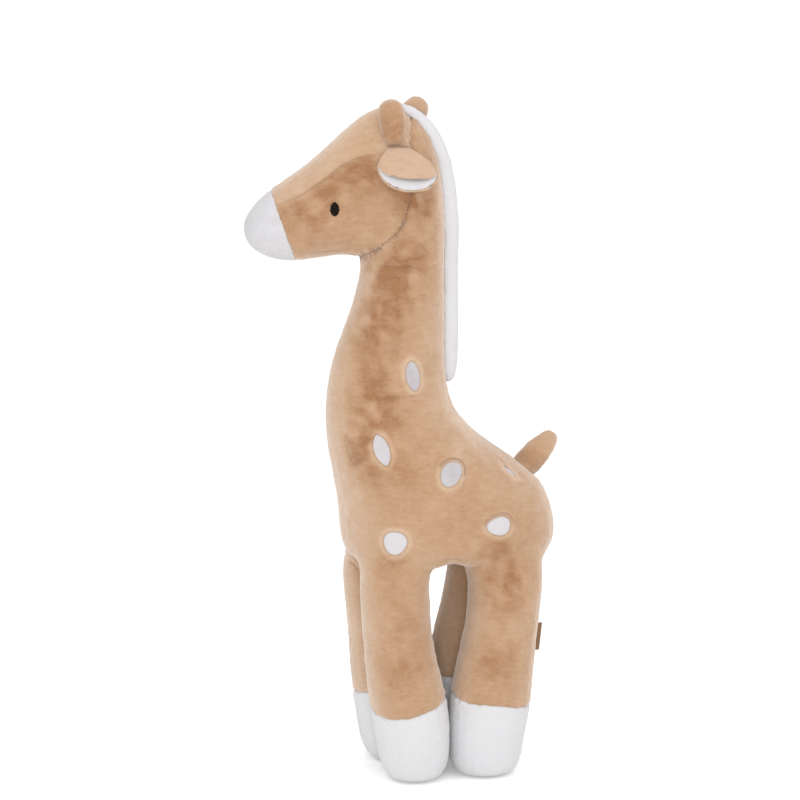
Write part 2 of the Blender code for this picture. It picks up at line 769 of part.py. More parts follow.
def make_tail(joint):
    """A stuffed stub with a ball at its root, rising backwards from the rump."""
    radius = TAIL_DIAMETER / 2
    rings = []
    for step in range(1, TAIL_BALL_RINGS + 1):
        angle = -pi / 2 * (1 - step / (TAIL_BALL_RINGS + 1))
        reach = radius * sin(angle)
        half = radius * cos(angle)
        rings.append(ring((-half, reach), (half, reach), half, ROUND, STUB_SIDES))
    for length, width in TAIL_SHARES:
        reach = length * TAIL_LENGTH
        half = width * radius
        rings.append(ring((-half, reach), (half, reach), half, ROUND, STUB_SIDES))
    place = Matrix.Translation(tail_root()) @ Matrix.Rotation(TAIL_RISE - pi / 2, 4, "X")
    form = loft("tail_form", [[place @ point for point in loop] for loop in rings])
    add_part("tail", baked(form), "tan_plush", joint)


def tail_joint():
    joint = bpy.data.objects.new("tail_root", None)
    parts.objects.link(joint)
    joint.location = tail_root()
    bpy.context.view_layer.update()
    return joint


# Oval trims on the skin

PATCH_INNER_SHARE = 0.55


def oval_patch(name, aim, facing, height, width, thickness, lean, target):
    """An oval of fabric laid on the skin: a flat disc thrown on to it, then thickened.

    The disc starts outside the skin and is thrown at a place inside it, against its facing.
    """
    disc = bmesh.new()
    loops = []
    for share in (1, PATCH_INNER_SHARE):
        loop = bmesh.ops.create_circle(disc, segments=TRIM_SIDES, radius=share)["verts"]
        loops.append(loop)
    for outer, inner in zip(loops, loops[1:]):
        bmesh.ops.bridge_loops(disc, edges=loop_edges(outer) + loop_edges(inner))
    bmesh.ops.contextual_create(disc, geom=loops[-1] + loop_edges(loops[-1]))
    bmesh.ops.scale(disc, verts=disc.verts, vec=(width / 2, height / 2, 1))
    disc.normal_update()
    facing_in = [face for face in disc.faces if face.normal.z < 0]
    bmesh.ops.reverse_faces(disc, faces=facing_in)
    mesh = bpy.data.meshes.new(name)
    disc.to_mesh(mesh)
    disc.free()
    patch = add_cutter(name + "_disc", mesh)
    start = Matrix.Translation(aim) @ facing @ Matrix.Translation((0, 0, TORSO_WIDTH))
    patch.matrix_world = start @ Matrix.Rotation(lean, 4, "Z")
    wrap = patch.modifiers.new("lay", "SHRINKWRAP")
    wrap.target = target
    wrap.wrap_method = "PROJECT"
    wrap.use_project_z = True
    wrap.use_negative_direction = True
    wrap.use_positive_direction = False
    wrap.offset = TRIM_GAP
    thick = patch.modifiers.new("thick", "SOLIDIFY")
    thick.thickness = thickness
    thick.offset = 1
    return baked(patch)


def side_facing(side, pitch=0.0):
    """Turns a disc that faces up so that it faces out of the toy's side, pitched upwards."""
    outward = Matrix.Rotation(side * pi / 2, 4, "Z")
    return outward @ Matrix.Rotation(pi / 2 - pitch, 4, "X")


def make_spots(target):
    for side_name, side in (("left", 1), ("right", -1)):
        for name, (reach, height, tall, wide) in SPOT_SHARES.items():
            aim_y = -CHEST_REACH + reach * TORSO_LENGTH
            aim = Vector((0, aim_y, BELLY_Z + height * TORSO_HEIGHT))
            lean = side * SPOT_LEANS.get(name, 0)
            mesh = oval_patch(
                side_name + "_" + name, aim, side_facing(side, SPOT_PITCHES.get(name, 0)),
                tall * SPOT_LENGTH, wide * SPOT_LENGTH, SPOT_THICKNESS, lean, target
            )
            add_part(side_name + "_" + name, mesh, "white_plush")


EYE_SHARES = (0.451, 0.335)


def make_eyes(target):
    for side_name, side in (("left", 1), ("right", -1)):
        aim = head_point(0, *EYE_SHARES)
        facing = Matrix.Rotation(HEAD_TURN, 4, "Z") @ side_facing(side)
        mesh = oval_patch(
            side_name + "_eye", aim, facing, EYE_HEIGHT, EYE_WIDTH, EYE_THICKNESS, 0.0, target
        )
        add_part(side_name + "_eye", mesh, "black_thread")


# Side label

LABEL_HEIGHT_SHARE = 0.655
LABEL_EDGE_SHARE = 1.130


def make_label(cutter):
    """A folded ribbon that stands out of the back seam of the left rear leg."""
    middle = Vector((
        LIMB_SPREAD / 2,
        REAR_LIMB_Y + LABEL_EDGE_SHARE * REAR_HOOF_LENGTH,
        LABEL_HEIGHT_SHARE * LEG_HEIGHT,
    ))
    work = bmesh.new()
    bmesh.ops.create_cube(work, size=1)
    bmesh.ops.scale(work, verts=work.verts, vec=(LABEL_THICKNESS, LABEL_REACH * 2, LABEL_HEIGHT))
    bmesh.ops.translate(work, verts=work.verts, vec=middle)
    mesh = bpy.data.meshes.new("label_blank")
    work.to_mesh(mesh)
    work.free()
    add_part("side_label", trimmed(mesh, cutter), "brown_ribbon")


# Build

clear_scene()
parts = new_collection("plush_giraffe")
cutters = new_collection("cutters", hidden=True)

body_form = loft("body_form", body_rings())
make_body(body_form)
body_cutter = grown("body_cutter", body_form, SEAM_GAP)

for side_name, side in (("left", 1), ("right", -1)):
    knee_shift = FRONT_RIGHT_KNEE_SHIFT if side < 0 else 0.0
    make_limb("front", side_name, side, body_cutter, knee_shift)
rear_left_form = make_limb("rear", "left", 1, body_cutter)
make_limb("rear", "right", -1, body_cutter, REAR_RIGHT_KNEE_SHIFT)

make_mane(body_cutter)
for side_name, side in (("left", 1), ("right", -1)):
    make_horn(side_name, side, body_cutter)
    make_ear(side_name, side, ear_joint(side_name, side))
make_tail(tail_joint())
make_spots(body_form)
make_eyes(body_form)
make_label(grown("leg_cutter", rear_left_form, SEAM_GAP))
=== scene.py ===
# %% [markdown]
# # Dressing a plush giraffe
#
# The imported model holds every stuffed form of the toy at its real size, with the roots of the
# ears and the tail as joints. This lesson dresses those forms in short-pile plush. It reads
# nothing but the frame, so each piece lands where the model says.

# %% Load the frame
import json
from math import cos, pi, radians, sin, sqrt

import bmesh
import bpy
import numpy as np
from mathutils import Matrix, Vector
from mathutils.bvhtree import BVHTree


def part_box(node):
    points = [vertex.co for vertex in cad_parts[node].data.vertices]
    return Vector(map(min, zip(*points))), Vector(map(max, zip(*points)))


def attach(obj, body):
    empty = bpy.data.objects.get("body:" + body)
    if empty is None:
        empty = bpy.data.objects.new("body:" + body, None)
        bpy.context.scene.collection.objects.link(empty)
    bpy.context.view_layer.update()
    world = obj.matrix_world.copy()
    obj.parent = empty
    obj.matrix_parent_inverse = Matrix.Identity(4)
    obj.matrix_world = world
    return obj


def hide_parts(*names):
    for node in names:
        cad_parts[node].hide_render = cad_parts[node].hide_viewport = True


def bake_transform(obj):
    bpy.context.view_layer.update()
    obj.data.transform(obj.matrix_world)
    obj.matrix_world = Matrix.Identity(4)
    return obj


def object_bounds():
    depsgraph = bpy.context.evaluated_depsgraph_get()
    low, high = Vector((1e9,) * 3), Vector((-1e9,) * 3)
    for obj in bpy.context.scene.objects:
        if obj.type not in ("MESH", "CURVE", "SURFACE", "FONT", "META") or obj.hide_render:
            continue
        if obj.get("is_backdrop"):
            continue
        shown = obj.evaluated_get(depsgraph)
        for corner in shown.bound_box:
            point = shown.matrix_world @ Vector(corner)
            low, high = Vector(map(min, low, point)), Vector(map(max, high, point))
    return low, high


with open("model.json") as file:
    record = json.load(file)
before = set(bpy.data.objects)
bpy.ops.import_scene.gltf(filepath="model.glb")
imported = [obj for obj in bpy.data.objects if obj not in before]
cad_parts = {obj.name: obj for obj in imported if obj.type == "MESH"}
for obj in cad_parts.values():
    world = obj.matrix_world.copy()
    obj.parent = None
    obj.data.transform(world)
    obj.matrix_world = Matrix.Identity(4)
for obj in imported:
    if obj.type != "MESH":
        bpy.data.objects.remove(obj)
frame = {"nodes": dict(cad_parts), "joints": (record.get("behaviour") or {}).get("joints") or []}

CAD_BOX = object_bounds()
MM = 0.001
joints = {joint["name"]: joint for joint in frame["joints"]}
print("nodes", len(frame["nodes"]), "box", [round(side, 3) for side in CAD_BOX[1] - CAD_BOX[0]])

# %% [markdown]
# ## Helpers
#
# A few things are done in the same way all through the lesson: an object is linked, a lamp or
# the camera is aimed, a mesh is opened for work and closed again, and a node gets its inputs.

# %% Write the helpers
def linked(name, data):
    """A new object for a mesh, a lamp or a camera, linked to the scene."""
    thing = bpy.data.objects.new(name, data)
    bpy.context.scene.collection.objects.link(thing)
    return thing


def aimed(name, data, place, direction):
    """A lamp or camera that stands at a place and looks along a direction."""
    thing = linked(name, data)
    thing.location = place
    thing.rotation_mode = "QUATERNION"
    thing.rotation_quaternion = direction.to_track_quat("-Z", "Y")
    return thing


def form_of(mesh):
    """A bmesh to work on, filled from a mesh."""
    form = bmesh.new()
    form.from_mesh(mesh)
    return form


def mesh_from(form, name):
    """The mesh that a finished bmesh leaves."""
    mesh = bpy.data.meshes.new(name)
    form.to_mesh(mesh)
    form.free()
    return mesh


def feed(tree, node, inputs):
    """Gives a node's inputs their values, each a number, a colour or another node's output."""
    for name, value in inputs.items():
        if isinstance(value, bpy.types.NodeSocket):
            tree.links.new(value, node.inputs[name])
        else:
            node.inputs[name].default_value = value


print("helpers", [tool.__name__ for tool in (linked, aimed, form_of, mesh_from, feed)])

# %% [markdown]
# ## The camera
#
# The toy is seen from its left side and slightly from the front, from a little above. A long
# lens far away keeps the legs parallel. The same numbers later turn a place in the picture
# into a line of sight, so that a crease can be placed where it is seen.

# %% Place the camera
PICTURE_SIDE = 800
AZIMUTH = radians(75)
ELEVATION = radians(10)
CAMERA_DISTANCE = 2.2
CAMERA_TARGET = Vector((0, -0.00675, 0.280))
VIEW_WIDTH = 0.5888
SENSOR_WIDTH = 36

toward_camera = Vector((
    sin(AZIMUTH) * cos(ELEVATION), -cos(AZIMUTH) * cos(ELEVATION), sin(ELEVATION)
))
picture_right = Vector((cos(AZIMUTH), sin(AZIMUTH), 0))
picture_up = toward_camera.cross(picture_right)
camera_place = CAMERA_TARGET + toward_camera * CAMERA_DISTANCE

camera_data = bpy.data.cameras.new("camera")
camera_data.sensor_width = SENSOR_WIDTH
camera_data.lens = SENSOR_WIDTH * CAMERA_DISTANCE / VIEW_WIDTH
bpy.context.scene.camera = aimed("camera", camera_data, camera_place, -toward_camera)


def line_of_sight(pixel):
    """The direction from the camera through a place in the picture."""
    across = (pixel[0] - PICTURE_SIDE / 2) * VIEW_WIDTH / PICTURE_SIDE
    down = (pixel[1] - PICTURE_SIDE / 2) * VIEW_WIDTH / PICTURE_SIDE
    seen = CAMERA_TARGET + picture_right * across - picture_up * down
    return (seen - camera_place).normalized()


print("lens", round(camera_data.lens, 1))

# %% [markdown]
# ## The studio
#
# Such toys are photographed in white surroundings, so light comes from everywhere and shadows
# stay faint. A white world does most of the work, one broad lamp overhead makes what faces up
# a little brighter, and a small one just under the camera reaches in between the legs.

# %% Build the studio
STUDIO_SIDE = 30
FLOOR_GREY = 0.90
FLOOR_GLOW = 0.16
LAMP_SIDE = 1.6
LAMP_PLACE = (0.45, 0.05, 1.7)
LAMP_AIM = (0, 0, 0.25)
LAMP_POWER = 9.0
FILL_SIDE = 0.45
FILL_DISTANCE = 1.9
FILL_DROP = 0.05
FILL_AIM = (0, 0, 0.15)
FILL_POWER = 12.0

world = bpy.data.worlds.new("studio")
bpy.context.scene.world = world
world.use_nodes = True
feed(world.node_tree, world.node_tree.nodes["Background"], {"Color": (1, 1, 1, 1), "Strength": 1.0})
bpy.context.scene.view_settings.view_transform = "Standard"

floor_form = bmesh.new()
bmesh.ops.create_grid(floor_form, x_segments=1, y_segments=1, size=STUDIO_SIDE / 2)
floor = linked("floor", mesh_from(floor_form, "floor"))
floor_paper = bpy.data.materials.new("floor_paper")
floor_paper.use_nodes = True
feed(floor_paper.node_tree, floor_paper.node_tree.nodes["Principled BSDF"], {
    "Base Color": (FLOOR_GREY, FLOOR_GREY, FLOOR_GREY, 1), "Roughness": 1.0,
    "Specular IOR Level": 0.0, "Emission Color": (1, 1, 1, 1), "Emission Strength": FLOOR_GLOW,
})
floor.data.materials.append(floor_paper)
floor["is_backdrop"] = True


def add_lamp(name, place, aim, side, power):
    light = bpy.data.lights.new(name, "AREA")
    light.shape = "SQUARE"
    light.size = side
    light.energy = power
    aimed(name, light, place, Vector(aim) - Vector(place))


add_lamp("overhead", LAMP_PLACE, LAMP_AIM, LAMP_SIDE, LAMP_POWER)
fill_place = CAMERA_TARGET + toward_camera * FILL_DISTANCE - picture_up * FILL_DROP
add_lamp("fill", fill_place, FILL_AIM, FILL_SIDE, FILL_POWER)
print("studio ready")

# %% [markdown]
# ## Plush and thread
#
# Short-pile plush has no gloss. Its colour drifts where the nap lies another way, its
# pile scatters light at glancing angles, and close up it is a fine uneven grain. The material
# mixes noise of several sizes, paints shade into seams, creases, rim edges and roots through an
# attribute that the meshes carry, takes the nap's tone together with painted sheen, painted
# light and painted shade through a second one, and adds sheen for the pale velvet edges.

# %% Make the fabrics
def linear(red, green, blue):
    """A colour as a display shows it, from 0 to 255, turned into the light that it stands for."""
    shares = [value / 255 for value in (red, green, blue)]
    light = [share / 12.92 if share < 0.04045 else ((share + 0.055) / 1.055) ** 2.4
             for share in shares]
    return (*light, 1)


def add_node(tree, kind, inputs, output, **settings):
    """A new node with its settings and inputs, and the output that is wanted of it."""
    node = tree.nodes.new("ShaderNode" + kind)
    for setting, value in settings.items():
        setattr(node, setting, value)
    feed(tree, node, inputs)
    return node.outputs[output]


def add_noise(tree, place, scale, detail, roughness=0.5, distortion=0.0):
    return add_node(tree, "TexNoise", {
        "Vector": place, "Scale": scale, "Detail": detail, "Roughness": roughness,
        "Distortion": distortion,
    }, "Fac")


def add_range(tree, value, low, high, to_low=0.0, to_high=1.0):
    return add_node(tree, "MapRange", {
        "Value": value, "From Min": low, "From Max": high, "To Min": to_low, "To Max": to_high,
    }, "Result")


def add_math(tree, operation, first, second):
    return add_node(tree, "Math", {0: first, 1: second}, "Value", operation=operation)


def add_mix(tree, share, first, second):
    return add_node(tree, "Mix", {"Factor": share, "A": first, "B": second}, "Result",
                    data_type="RGBA")


def add_stretch(tree, place, scale):
    return add_node(tree, "Mapping", {"Vector": place, "Scale": scale}, "Vector")


def add_attribute(tree, name):
    return add_node(tree, "Attribute", {}, "Fac", attribute_name=name)


def add_bump(tree, height, strength, distance):
    return add_node(tree, "Bump", {"Height": height, "Strength": strength, "Distance": distance},
                    "Normal")


def new_finish(name):
    """A material with its node tree, its shader and the place on the object that it reads."""
    material = bpy.data.materials.new(name)
    material.use_nodes = True
    tree = material.node_tree
    return material, tree, tree.nodes["Principled BSDF"], add_node(tree, "TexCoord", {}, "Object")


# Each noise's scale and detail, and its roughness and distortion where they matter
PATCH_NOISE = (24, 4, 0.55, 0.5)
MOTTLE_NOISE = (130, 4, 0.65, 0.4)
NAP_NOISE = (420, 3, 0.6)
NAP_STRETCH = (0.34, 0.34, 1.0)
PILE_NOISE = (1500, 2, 0.6)
FLECK_NOISE = (950, 1)
FLECK_STRETCH = (0.5, 0.5, 1.0)
TWIST_NOISE = (2600, 2)
# From where to where a noise counts, and what it then makes
NOISE_SPAN = (0.3, 0.7)
PILE_SPAN = (0.35, 0.65)
FLECK_SPAN = (0.62, 0.72)
TWIST_SPAN = (0.4, 0.7)
NAP_AND_PAINTED_LIGHT_UNEVEN = (0.7, 1.3)
FLECK_BY_TONE = (-0.2, 0.5, 0.2, 1.0)
PATCH_SWING = 0.20
MOTTLE_SWING = 0.12
NAP_SWING = 0.16
PILE_DEEPER = 0.08
FLECK_DEEPER = 0.32
NAP_RELIEF = 1.2
PLUSH_ROUGHNESS = 0.95
PLUSH_GLOSS = 0.10
PILE_DEPTH = 0.35 * MM
PILE_STRENGTH = 0.55
SHEEN_TINT = linear(244, 240, 236)
SHEEN_ROUGHNESS = 0.50
THREAD_ROUGHNESS = 0.55
TWIST_PALER = 1.7
TWIST_LIFT = 0.004
TWIST_DEPTH = 0.1 * MM
TWIST_STRENGTH = 0.4


def plush(name, pale, middle, deep, seam, sheen, drift=1.0):
    """Napped pile in three tones, with shade painted in as the seam colour where the mesh's attribute
    asks for it.
    """
    material, tree, shader, place = new_finish(name)
    patches = add_noise(tree, place, *PATCH_NOISE)
    mottle = add_noise(tree, place, *MOTTLE_NOISE)
    nap = add_noise(tree, add_stretch(tree, place, NAP_STRETCH), *NAP_NOISE)
    pile = add_noise(tree, place, *PILE_NOISE)
    flecks = add_noise(tree, add_stretch(tree, place, FLECK_STRETCH), *FLECK_NOISE)
    # This attribute holds the nap's own tone, with painted sheen on the edges, painted light inside
    # the legs and painted shade below the ears mixed in
    tone = add_math(tree, "MULTIPLY", add_attribute(tree, "nap_and_painted_light"),
                    add_range(tree, mottle, *NOISE_SPAN, *NAP_AND_PAINTED_LIGHT_UNEVEN))
    for noise, swing in ((patches, PATCH_SWING), (mottle, MOTTLE_SWING), (nap, NAP_SWING)):
        swing *= drift
        tone = add_math(tree, "ADD", tone, add_range(tree, noise, *NOISE_SPAN, -swing, swing))
    deeper = add_math(tree, "MAXIMUM", tone, 0.0)
    paler = add_math(tree, "MAXIMUM", add_math(tree, "MULTIPLY", tone, -1.0), 0.0)
    colour = add_mix(tree, deeper, middle, deep)
    colour = add_mix(tree, paler, colour, pale)
    between_piles = add_range(tree, pile, *PILE_SPAN, 0.0, PILE_DEEPER * drift)
    colour = add_mix(tree, between_piles, colour, deep)
    flecks = add_range(tree, flecks, *FLECK_SPAN, 0.0, FLECK_DEEPER * drift)
    parted = add_math(tree, "MULTIPLY", flecks, add_range(tree, tone, *FLECK_BY_TONE))
    colour = add_mix(tree, parted, colour, seam)
    # Painted shade: the seam colour is mixed in where seams, creases, rim edges and roots lie in
    # shadow
    colour = add_mix(tree, add_attribute(tree, "painted_shade"), colour, seam)
    relief = add_math(tree, "ADD", pile, add_math(tree, "MULTIPLY", nap, NAP_RELIEF))
    feed(tree, shader, {
        "Base Color": colour, "Roughness": PLUSH_ROUGHNESS, "Specular IOR Level": PLUSH_GLOSS,
        "Sheen Weight": sheen, "Sheen Roughness": SHEEN_ROUGHNESS, "Sheen Tint": SHEEN_TINT,
        "Normal": add_bump(tree, relief, PILE_STRENGTH, PILE_DEPTH),
    })
    return material


def thread(name, colour, gloss):
    """Spun thread: one colour with a fine twist, and a soft shine along it."""
    material, tree, shader, place = new_finish(name)
    twist = add_noise(tree, place, *TWIST_NOISE)
    lighter = tuple(min(1.0, value * TWIST_PALER + TWIST_LIFT) for value in colour[:3]) + (1,)
    feed(tree, shader, {
        "Base Color": add_mix(tree, add_range(tree, twist, *TWIST_SPAN), colour, lighter),
        "Roughness": THREAD_ROUGHNESS, "Specular IOR Level": gloss,
        "Normal": add_bump(tree, twist, TWIST_STRENGTH, TWIST_DEPTH),
    })
    return material


# Each fabric's seam colour is the painted shade of its seams, creases and roots, and also the colour
# of the pile's small flecks
tan_plush = plush("tan_plush", pale=linear(189, 163, 140), middle=linear(167, 134, 105),
                  deep=linear(141, 101, 69), seam=linear(106, 73, 49), sheen=0.60)
white_plush = plush("white_plush", pale=linear(201, 201, 203), middle=linear(194, 193, 195),
                    deep=linear(180, 178, 180), seam=linear(170, 162, 158), sheen=0.20, drift=0.3)
spot_plush = plush("spot_plush", pale=linear(196, 194, 196), middle=linear(188, 185, 187),
                   deep=linear(164, 159, 162), seam=linear(166, 152, 142), sheen=0.15, drift=0.25)
black_thread = thread("black_thread", linear(20, 15, 12), 0.05)
seam_thread = thread("seam_thread", linear(126, 88, 60), 0.1)
brown_ribbon = thread("brown_ribbon", linear(108, 83, 61), 0.2)
print("fabrics", len(bpy.data.materials))

# %% [markdown]
# ## Reading and writing meshes
#
# Every piece starts from a solid of the frame. A few helpers read its points into arrays,
# measure how far they are from other solids, and write them back. Distances to the solids on
# either side of a seam tell where the seam runs, so no outline is repeated here.

# %% Mesh helpers
SAME_PLACE = 0.01 * MM
WAVE_SPREAD = (0.7, 1.5)


def read(items, name, width, kind=float):
    """One property of all points, edges or faces, with a row for each."""
    flat = np.empty(len(items) * width, kind)
    items.foreach_get(name, flat)
    return flat.reshape(-1, width)


def points_of(mesh):
    return read(mesh.vertices, "co", 3)


def normals_of(mesh):
    return read(mesh.vertex_normals, "vector", 3)


def edges_of(mesh):
    return read(mesh.edges, "vertices", 2, int)


def quads_of(mesh):
    return read(mesh.polygons, "vertices", 4, int)


def set_points(mesh, points):
    mesh.vertices.foreach_set("co", points.ravel())
    mesh.update()


def solid_copy(node):
    """A merged copy of a frame solid, whose own mesh is loose triangles."""
    form = form_of(frame["nodes"][node].data)
    bmesh.ops.remove_doubles(form, verts=form.verts, dist=SAME_PLACE)
    return mesh_from(form, node + "_copy")


def tree_of(mesh):
    form = form_of(mesh)
    tree = BVHTree.FromBMesh(form)
    form.free()
    return tree


def distances(tree, points, reach):
    """How far each point is from a surface, up to a reach past which it doesn't matter."""
    found = np.full(len(points), reach)
    for index, point in enumerate(points):
        distance = tree.find_nearest(point, reach)[3]
        if distance is not None:
            found[index] = distance
    return found


def shaped(name, mesh, *modifiers):
    """The mesh that modifiers leave, each given as its kind and its settings."""
    blank = linked(name, mesh)
    for kind, settings in modifiers:
        modifier = blank.modifiers.new(kind, kind)
        for setting, value in settings.items():
            setattr(modifier, setting, value)
    bpy.context.view_layer.update()
    graph = bpy.context.evaluated_depsgraph_get()
    result = bpy.data.meshes.new_from_object(blank.evaluated_get(graph))
    bpy.data.objects.remove(blank)
    return result


def smoothed(points, edges, rounds, share, mask=None):
    """Draws every point towards the middle of its neighbours."""
    first, second = edges.T
    count = np.bincount(first, minlength=len(points)) + np.bincount(second, minlength=len(points))
    weight = share if mask is None else share * mask[:, None]
    for _ in range(rounds):
        total = np.zeros_like(points)
        for axis in range(3):
            total[:, axis] = (
                np.bincount(first, points[second, axis], len(points))
                + np.bincount(second, points[first, axis], len(points))
            )
        points = points + weight * (total / count[:, None] - points)
    return points


def soft_step(value):
    share = np.clip(value, 0, 1)
    return share * share * (3 - 2 * share)


def bell(gap, width):
    """1 where there is no gap, and next to nothing past twice the width."""
    return np.exp(-(gap / width) ** 2)


def valley(gap, width, ridge_shares):
    """A valley of depth 1 between two ridges, given as shares: their height, place and width."""
    height, place, spread = ridge_shares
    return height * bell(gap - place * width, spread * width) - bell(gap, width)


def soft_noise(points, size, seed, waves=28):
    """A smooth uneven field between about -1 and 1, from waves of about one size."""
    random = np.random.default_rng(seed)
    field = np.zeros(len(points))
    for _ in range(waves):
        direction = random.normal(size=3)
        direction *= 2 * pi / (size * random.uniform(*WAVE_SPREAD) * np.linalg.norm(direction))
        field += np.cos(points @ direction + random.uniform(0, 2 * pi))
    return field / sqrt(waves)


def finish_piece(name, mesh, material, node_names, body="toy"):
    """Turns a mesh into a shown piece that stands for nodes of the frame."""
    mesh.name = name
    mesh.materials.clear()
    mesh.materials.append(material)
    for polygon in mesh.polygons:
        polygon.material_index = 0
    mesh.shade_smooth()
    piece = linked(name, mesh)
    if node_names:
        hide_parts(*node_names)
    if body:
        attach(piece, body)
    print(name, len(mesh.polygons), "faces")
    return piece


def set_field(mesh, name, values):
    attribute = mesh.attributes.get(name) or mesh.attributes.new(name, "FLOAT", "POINT")
    attribute.data.foreach_set("value", values.astype(np.float32))


LIMBS = ("front_left", "front_right", "rear_left", "rear_right")
solids = {node: solid_copy(node) for node in frame["nodes"]}
print("solids", len(solids))

# %% [markdown]
# ## One stuffed skin
#
# The real toy is sewn as flat panels, then turned and stuffed, so its surface is one
# continuous skin that swells between seams. The solids are grown a little so that they
# overlap, and a voxel remesh joins them into one skin. The hooves stand so close that they
# would fuse, so the limbs are first spread apart, and drawn together again afterwards.

# %% Spread the limbs and remesh
SPREAD_TOP = 0.150
SPREAD_RUN = 0.055
SPREAD_ASIDE = 5 * MM
SPREAD_ALONG = 9 * MM
SKIN_VOXEL = 4.6 * MM
OVERLAP = 0.5 * MM

hoof_contact = (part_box("front_left_hoof")[1].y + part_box("rear_left_hoof")[0].y) / 2


def spread(points, side, pair, share=1.0):
    """Moves a limb's points out to its side and along the body, more the lower they are."""
    amount = share * soft_step((SPREAD_TOP - points[:, 2]) / SPREAD_RUN)
    moved = points.copy()
    moved[:, 0] += side * SPREAD_ASIDE * amount
    moved[:, 1] += pair * SPREAD_ALONG * amount
    return moved


for limb in LIMBS:
    side = 1 if "left" in limb else -1
    pair = -1 if "front" in limb else 1
    for node in (limb + "_leg", limb + "_hoof"):
        set_points(solids[node], spread(points_of(solids[node]), side, pair))

SKIN_NODES = ["torso", "neck", "head", "muzzle"]
SKIN_NODES += [limb + part for limb in LIMBS for part in ("_leg", "_hoof")]
joined = bmesh.new()
for node in SKIN_NODES:
    joined.from_mesh(shaped(node, solids[node].copy(), (
        "DISPLACE", {"strength": OVERLAP, "mid_level": 0})))
skin = shaped("skin", mesh_from(joined, "joined"),
              ("REMESH", {"mode": "VOXEL", "voxel_size": SKIN_VOXEL}))
set_points(skin, smoothed(points_of(skin), edges_of(skin), rounds=2, share=0.5))
print("skin", len(skin.polygons), "faces")

# %% [markdown]
# ## Where the seams run
#
# A seam lies where the solid on its one side is as far away as the solid on its other side.
# The difference of the two distances is negative on one side and positive on the other.

# %% Measure the seams
SEAM_REACH = 40 * MM
SEAM_NEAR = 6 * MM
SEAMS = {"throat": ("neck", "head"), "nose": ("head", "muzzle")}
SEAMS.update({limb: (limb + "_leg", limb + "_hoof") for limb in LIMBS})
trees = {node: tree_of(solids[node]) for node in SKIN_NODES}
corners = {node: (points_of(solids[node]).min(0) - SEAM_NEAR,
                  points_of(solids[node]).max(0) + SEAM_NEAR) for node in SKIN_NODES}


def nearest_node(points):
    """The solid that each point lies on, as its place in the list of skin nodes."""
    best = np.full(len(points), SEAM_REACH)
    owner = np.zeros(len(points), int)
    for number, node in enumerate(SKIN_NODES):
        lowest, highest = corners[node]
        inside = np.all((points > lowest) & (points < highest), axis=1)
        found = distances(trees[node], points[inside], SEAM_REACH)
        closer = found < best[inside]
        rows = np.flatnonzero(inside)[closer]
        best[rows] = found[closer]
        owner[rows] = number
    return owner


def lies_on(owners, *nodes):
    """Which points or faces belong to one of these solids."""
    return np.isin(owners, [SKIN_NODES.index(node) for node in nodes])


def seam_field(points, owner, seam):
    """Negative on the seam's first solid and positive on its second, in metres."""
    first, second = SEAMS[seam]
    on_seam = lies_on(owner, first, second)
    field = np.full(len(points), SEAM_REACH)
    field[on_seam] = (distances(trees[first], points[on_seam], SEAM_REACH)
                      - distances(trees[second], points[on_seam], SEAM_REACH))
    return field, on_seam


owner = nearest_node(points_of(skin))
print("panels", np.bincount(owner, minlength=len(SKIN_NODES)))

# %% [markdown]
# ## Stuffing it
#
# Cloth with pressure inside swells as a stuffed skin does, while pins hold it where a seam
# draws it in and where the soles stand. Gravity is off, because the filling carries the shape.
# The cap keeps the toy inside the size of the frame.

# %% Blow up the skin
CLOTH = {"quality": 6, "mass": 0.02, "tension_stiffness": 12, "compression_stiffness": 12,
         "bending_stiffness": 0.3, "use_pressure": True, "uniform_pressure_force": 4.0,
         "vertex_group_mass": "pinned"}
CLOTH_FRAMES = 20
SWELL_CAP = 1.6 * MM
PIN_REACH = 5 * MM
SOLE_PIN = 4 * MM


def stuffed(mesh, pinned):
    """The mesh after cloth with pressure has swollen it between its pins."""
    blank = linked("stuffing", mesh.copy())
    group = blank.vertex_groups.new(name="pinned")
    group.add([int(row) for row in np.flatnonzero(pinned)], 1.0, "REPLACE")
    cloth = blank.modifiers.new("cloth", "CLOTH")
    for setting, value in CLOTH.items():
        setattr(cloth.settings, setting, value)
    cloth.settings.effector_weights.gravity = 0
    cloth.point_cache.frame_end = CLOTH_FRAMES
    for step in range(1, CLOTH_FRAMES + 1):
        bpy.context.scene.frame_set(step)
    graph = bpy.context.evaluated_depsgraph_get()
    result = bpy.data.meshes.new_from_object(blank.evaluated_get(graph))
    bpy.data.objects.remove(blank)
    bpy.context.scene.frame_set(1)
    return result


before = points_of(skin)
pinned = before[:, 2] < SOLE_PIN
for seam in SEAMS:
    field, on_seam = seam_field(before, owner, seam)
    pinned |= on_seam & (np.abs(field) < PIN_REACH)
after = points_of(stuffed(skin, pinned))
move = after - before
length = np.linalg.norm(move, axis=1)
capped = np.minimum(length, SWELL_CAP)
move *= (capped / np.maximum(length, 1e-9))[:, None]
set_points(skin, smoothed(before + move, edges_of(skin), rounds=1, share=0.4))
print("swollen by", round(float(np.mean(capped)) / MM, 2), "mm on average")

# %% [markdown]
# ## From coarse to fine
#
# Two subdivisions bring the skin to about a millimetre. Its points are then drawn back towards
# the solids, except where a leg meets the side of the belly, which is one panel on the real toy
# and is smoothed into a fillet instead. Between the legs the belly keeps its own height. The seams
# waver a little, as hand-fed cloth does, and the white feet reach higher behind than in front.

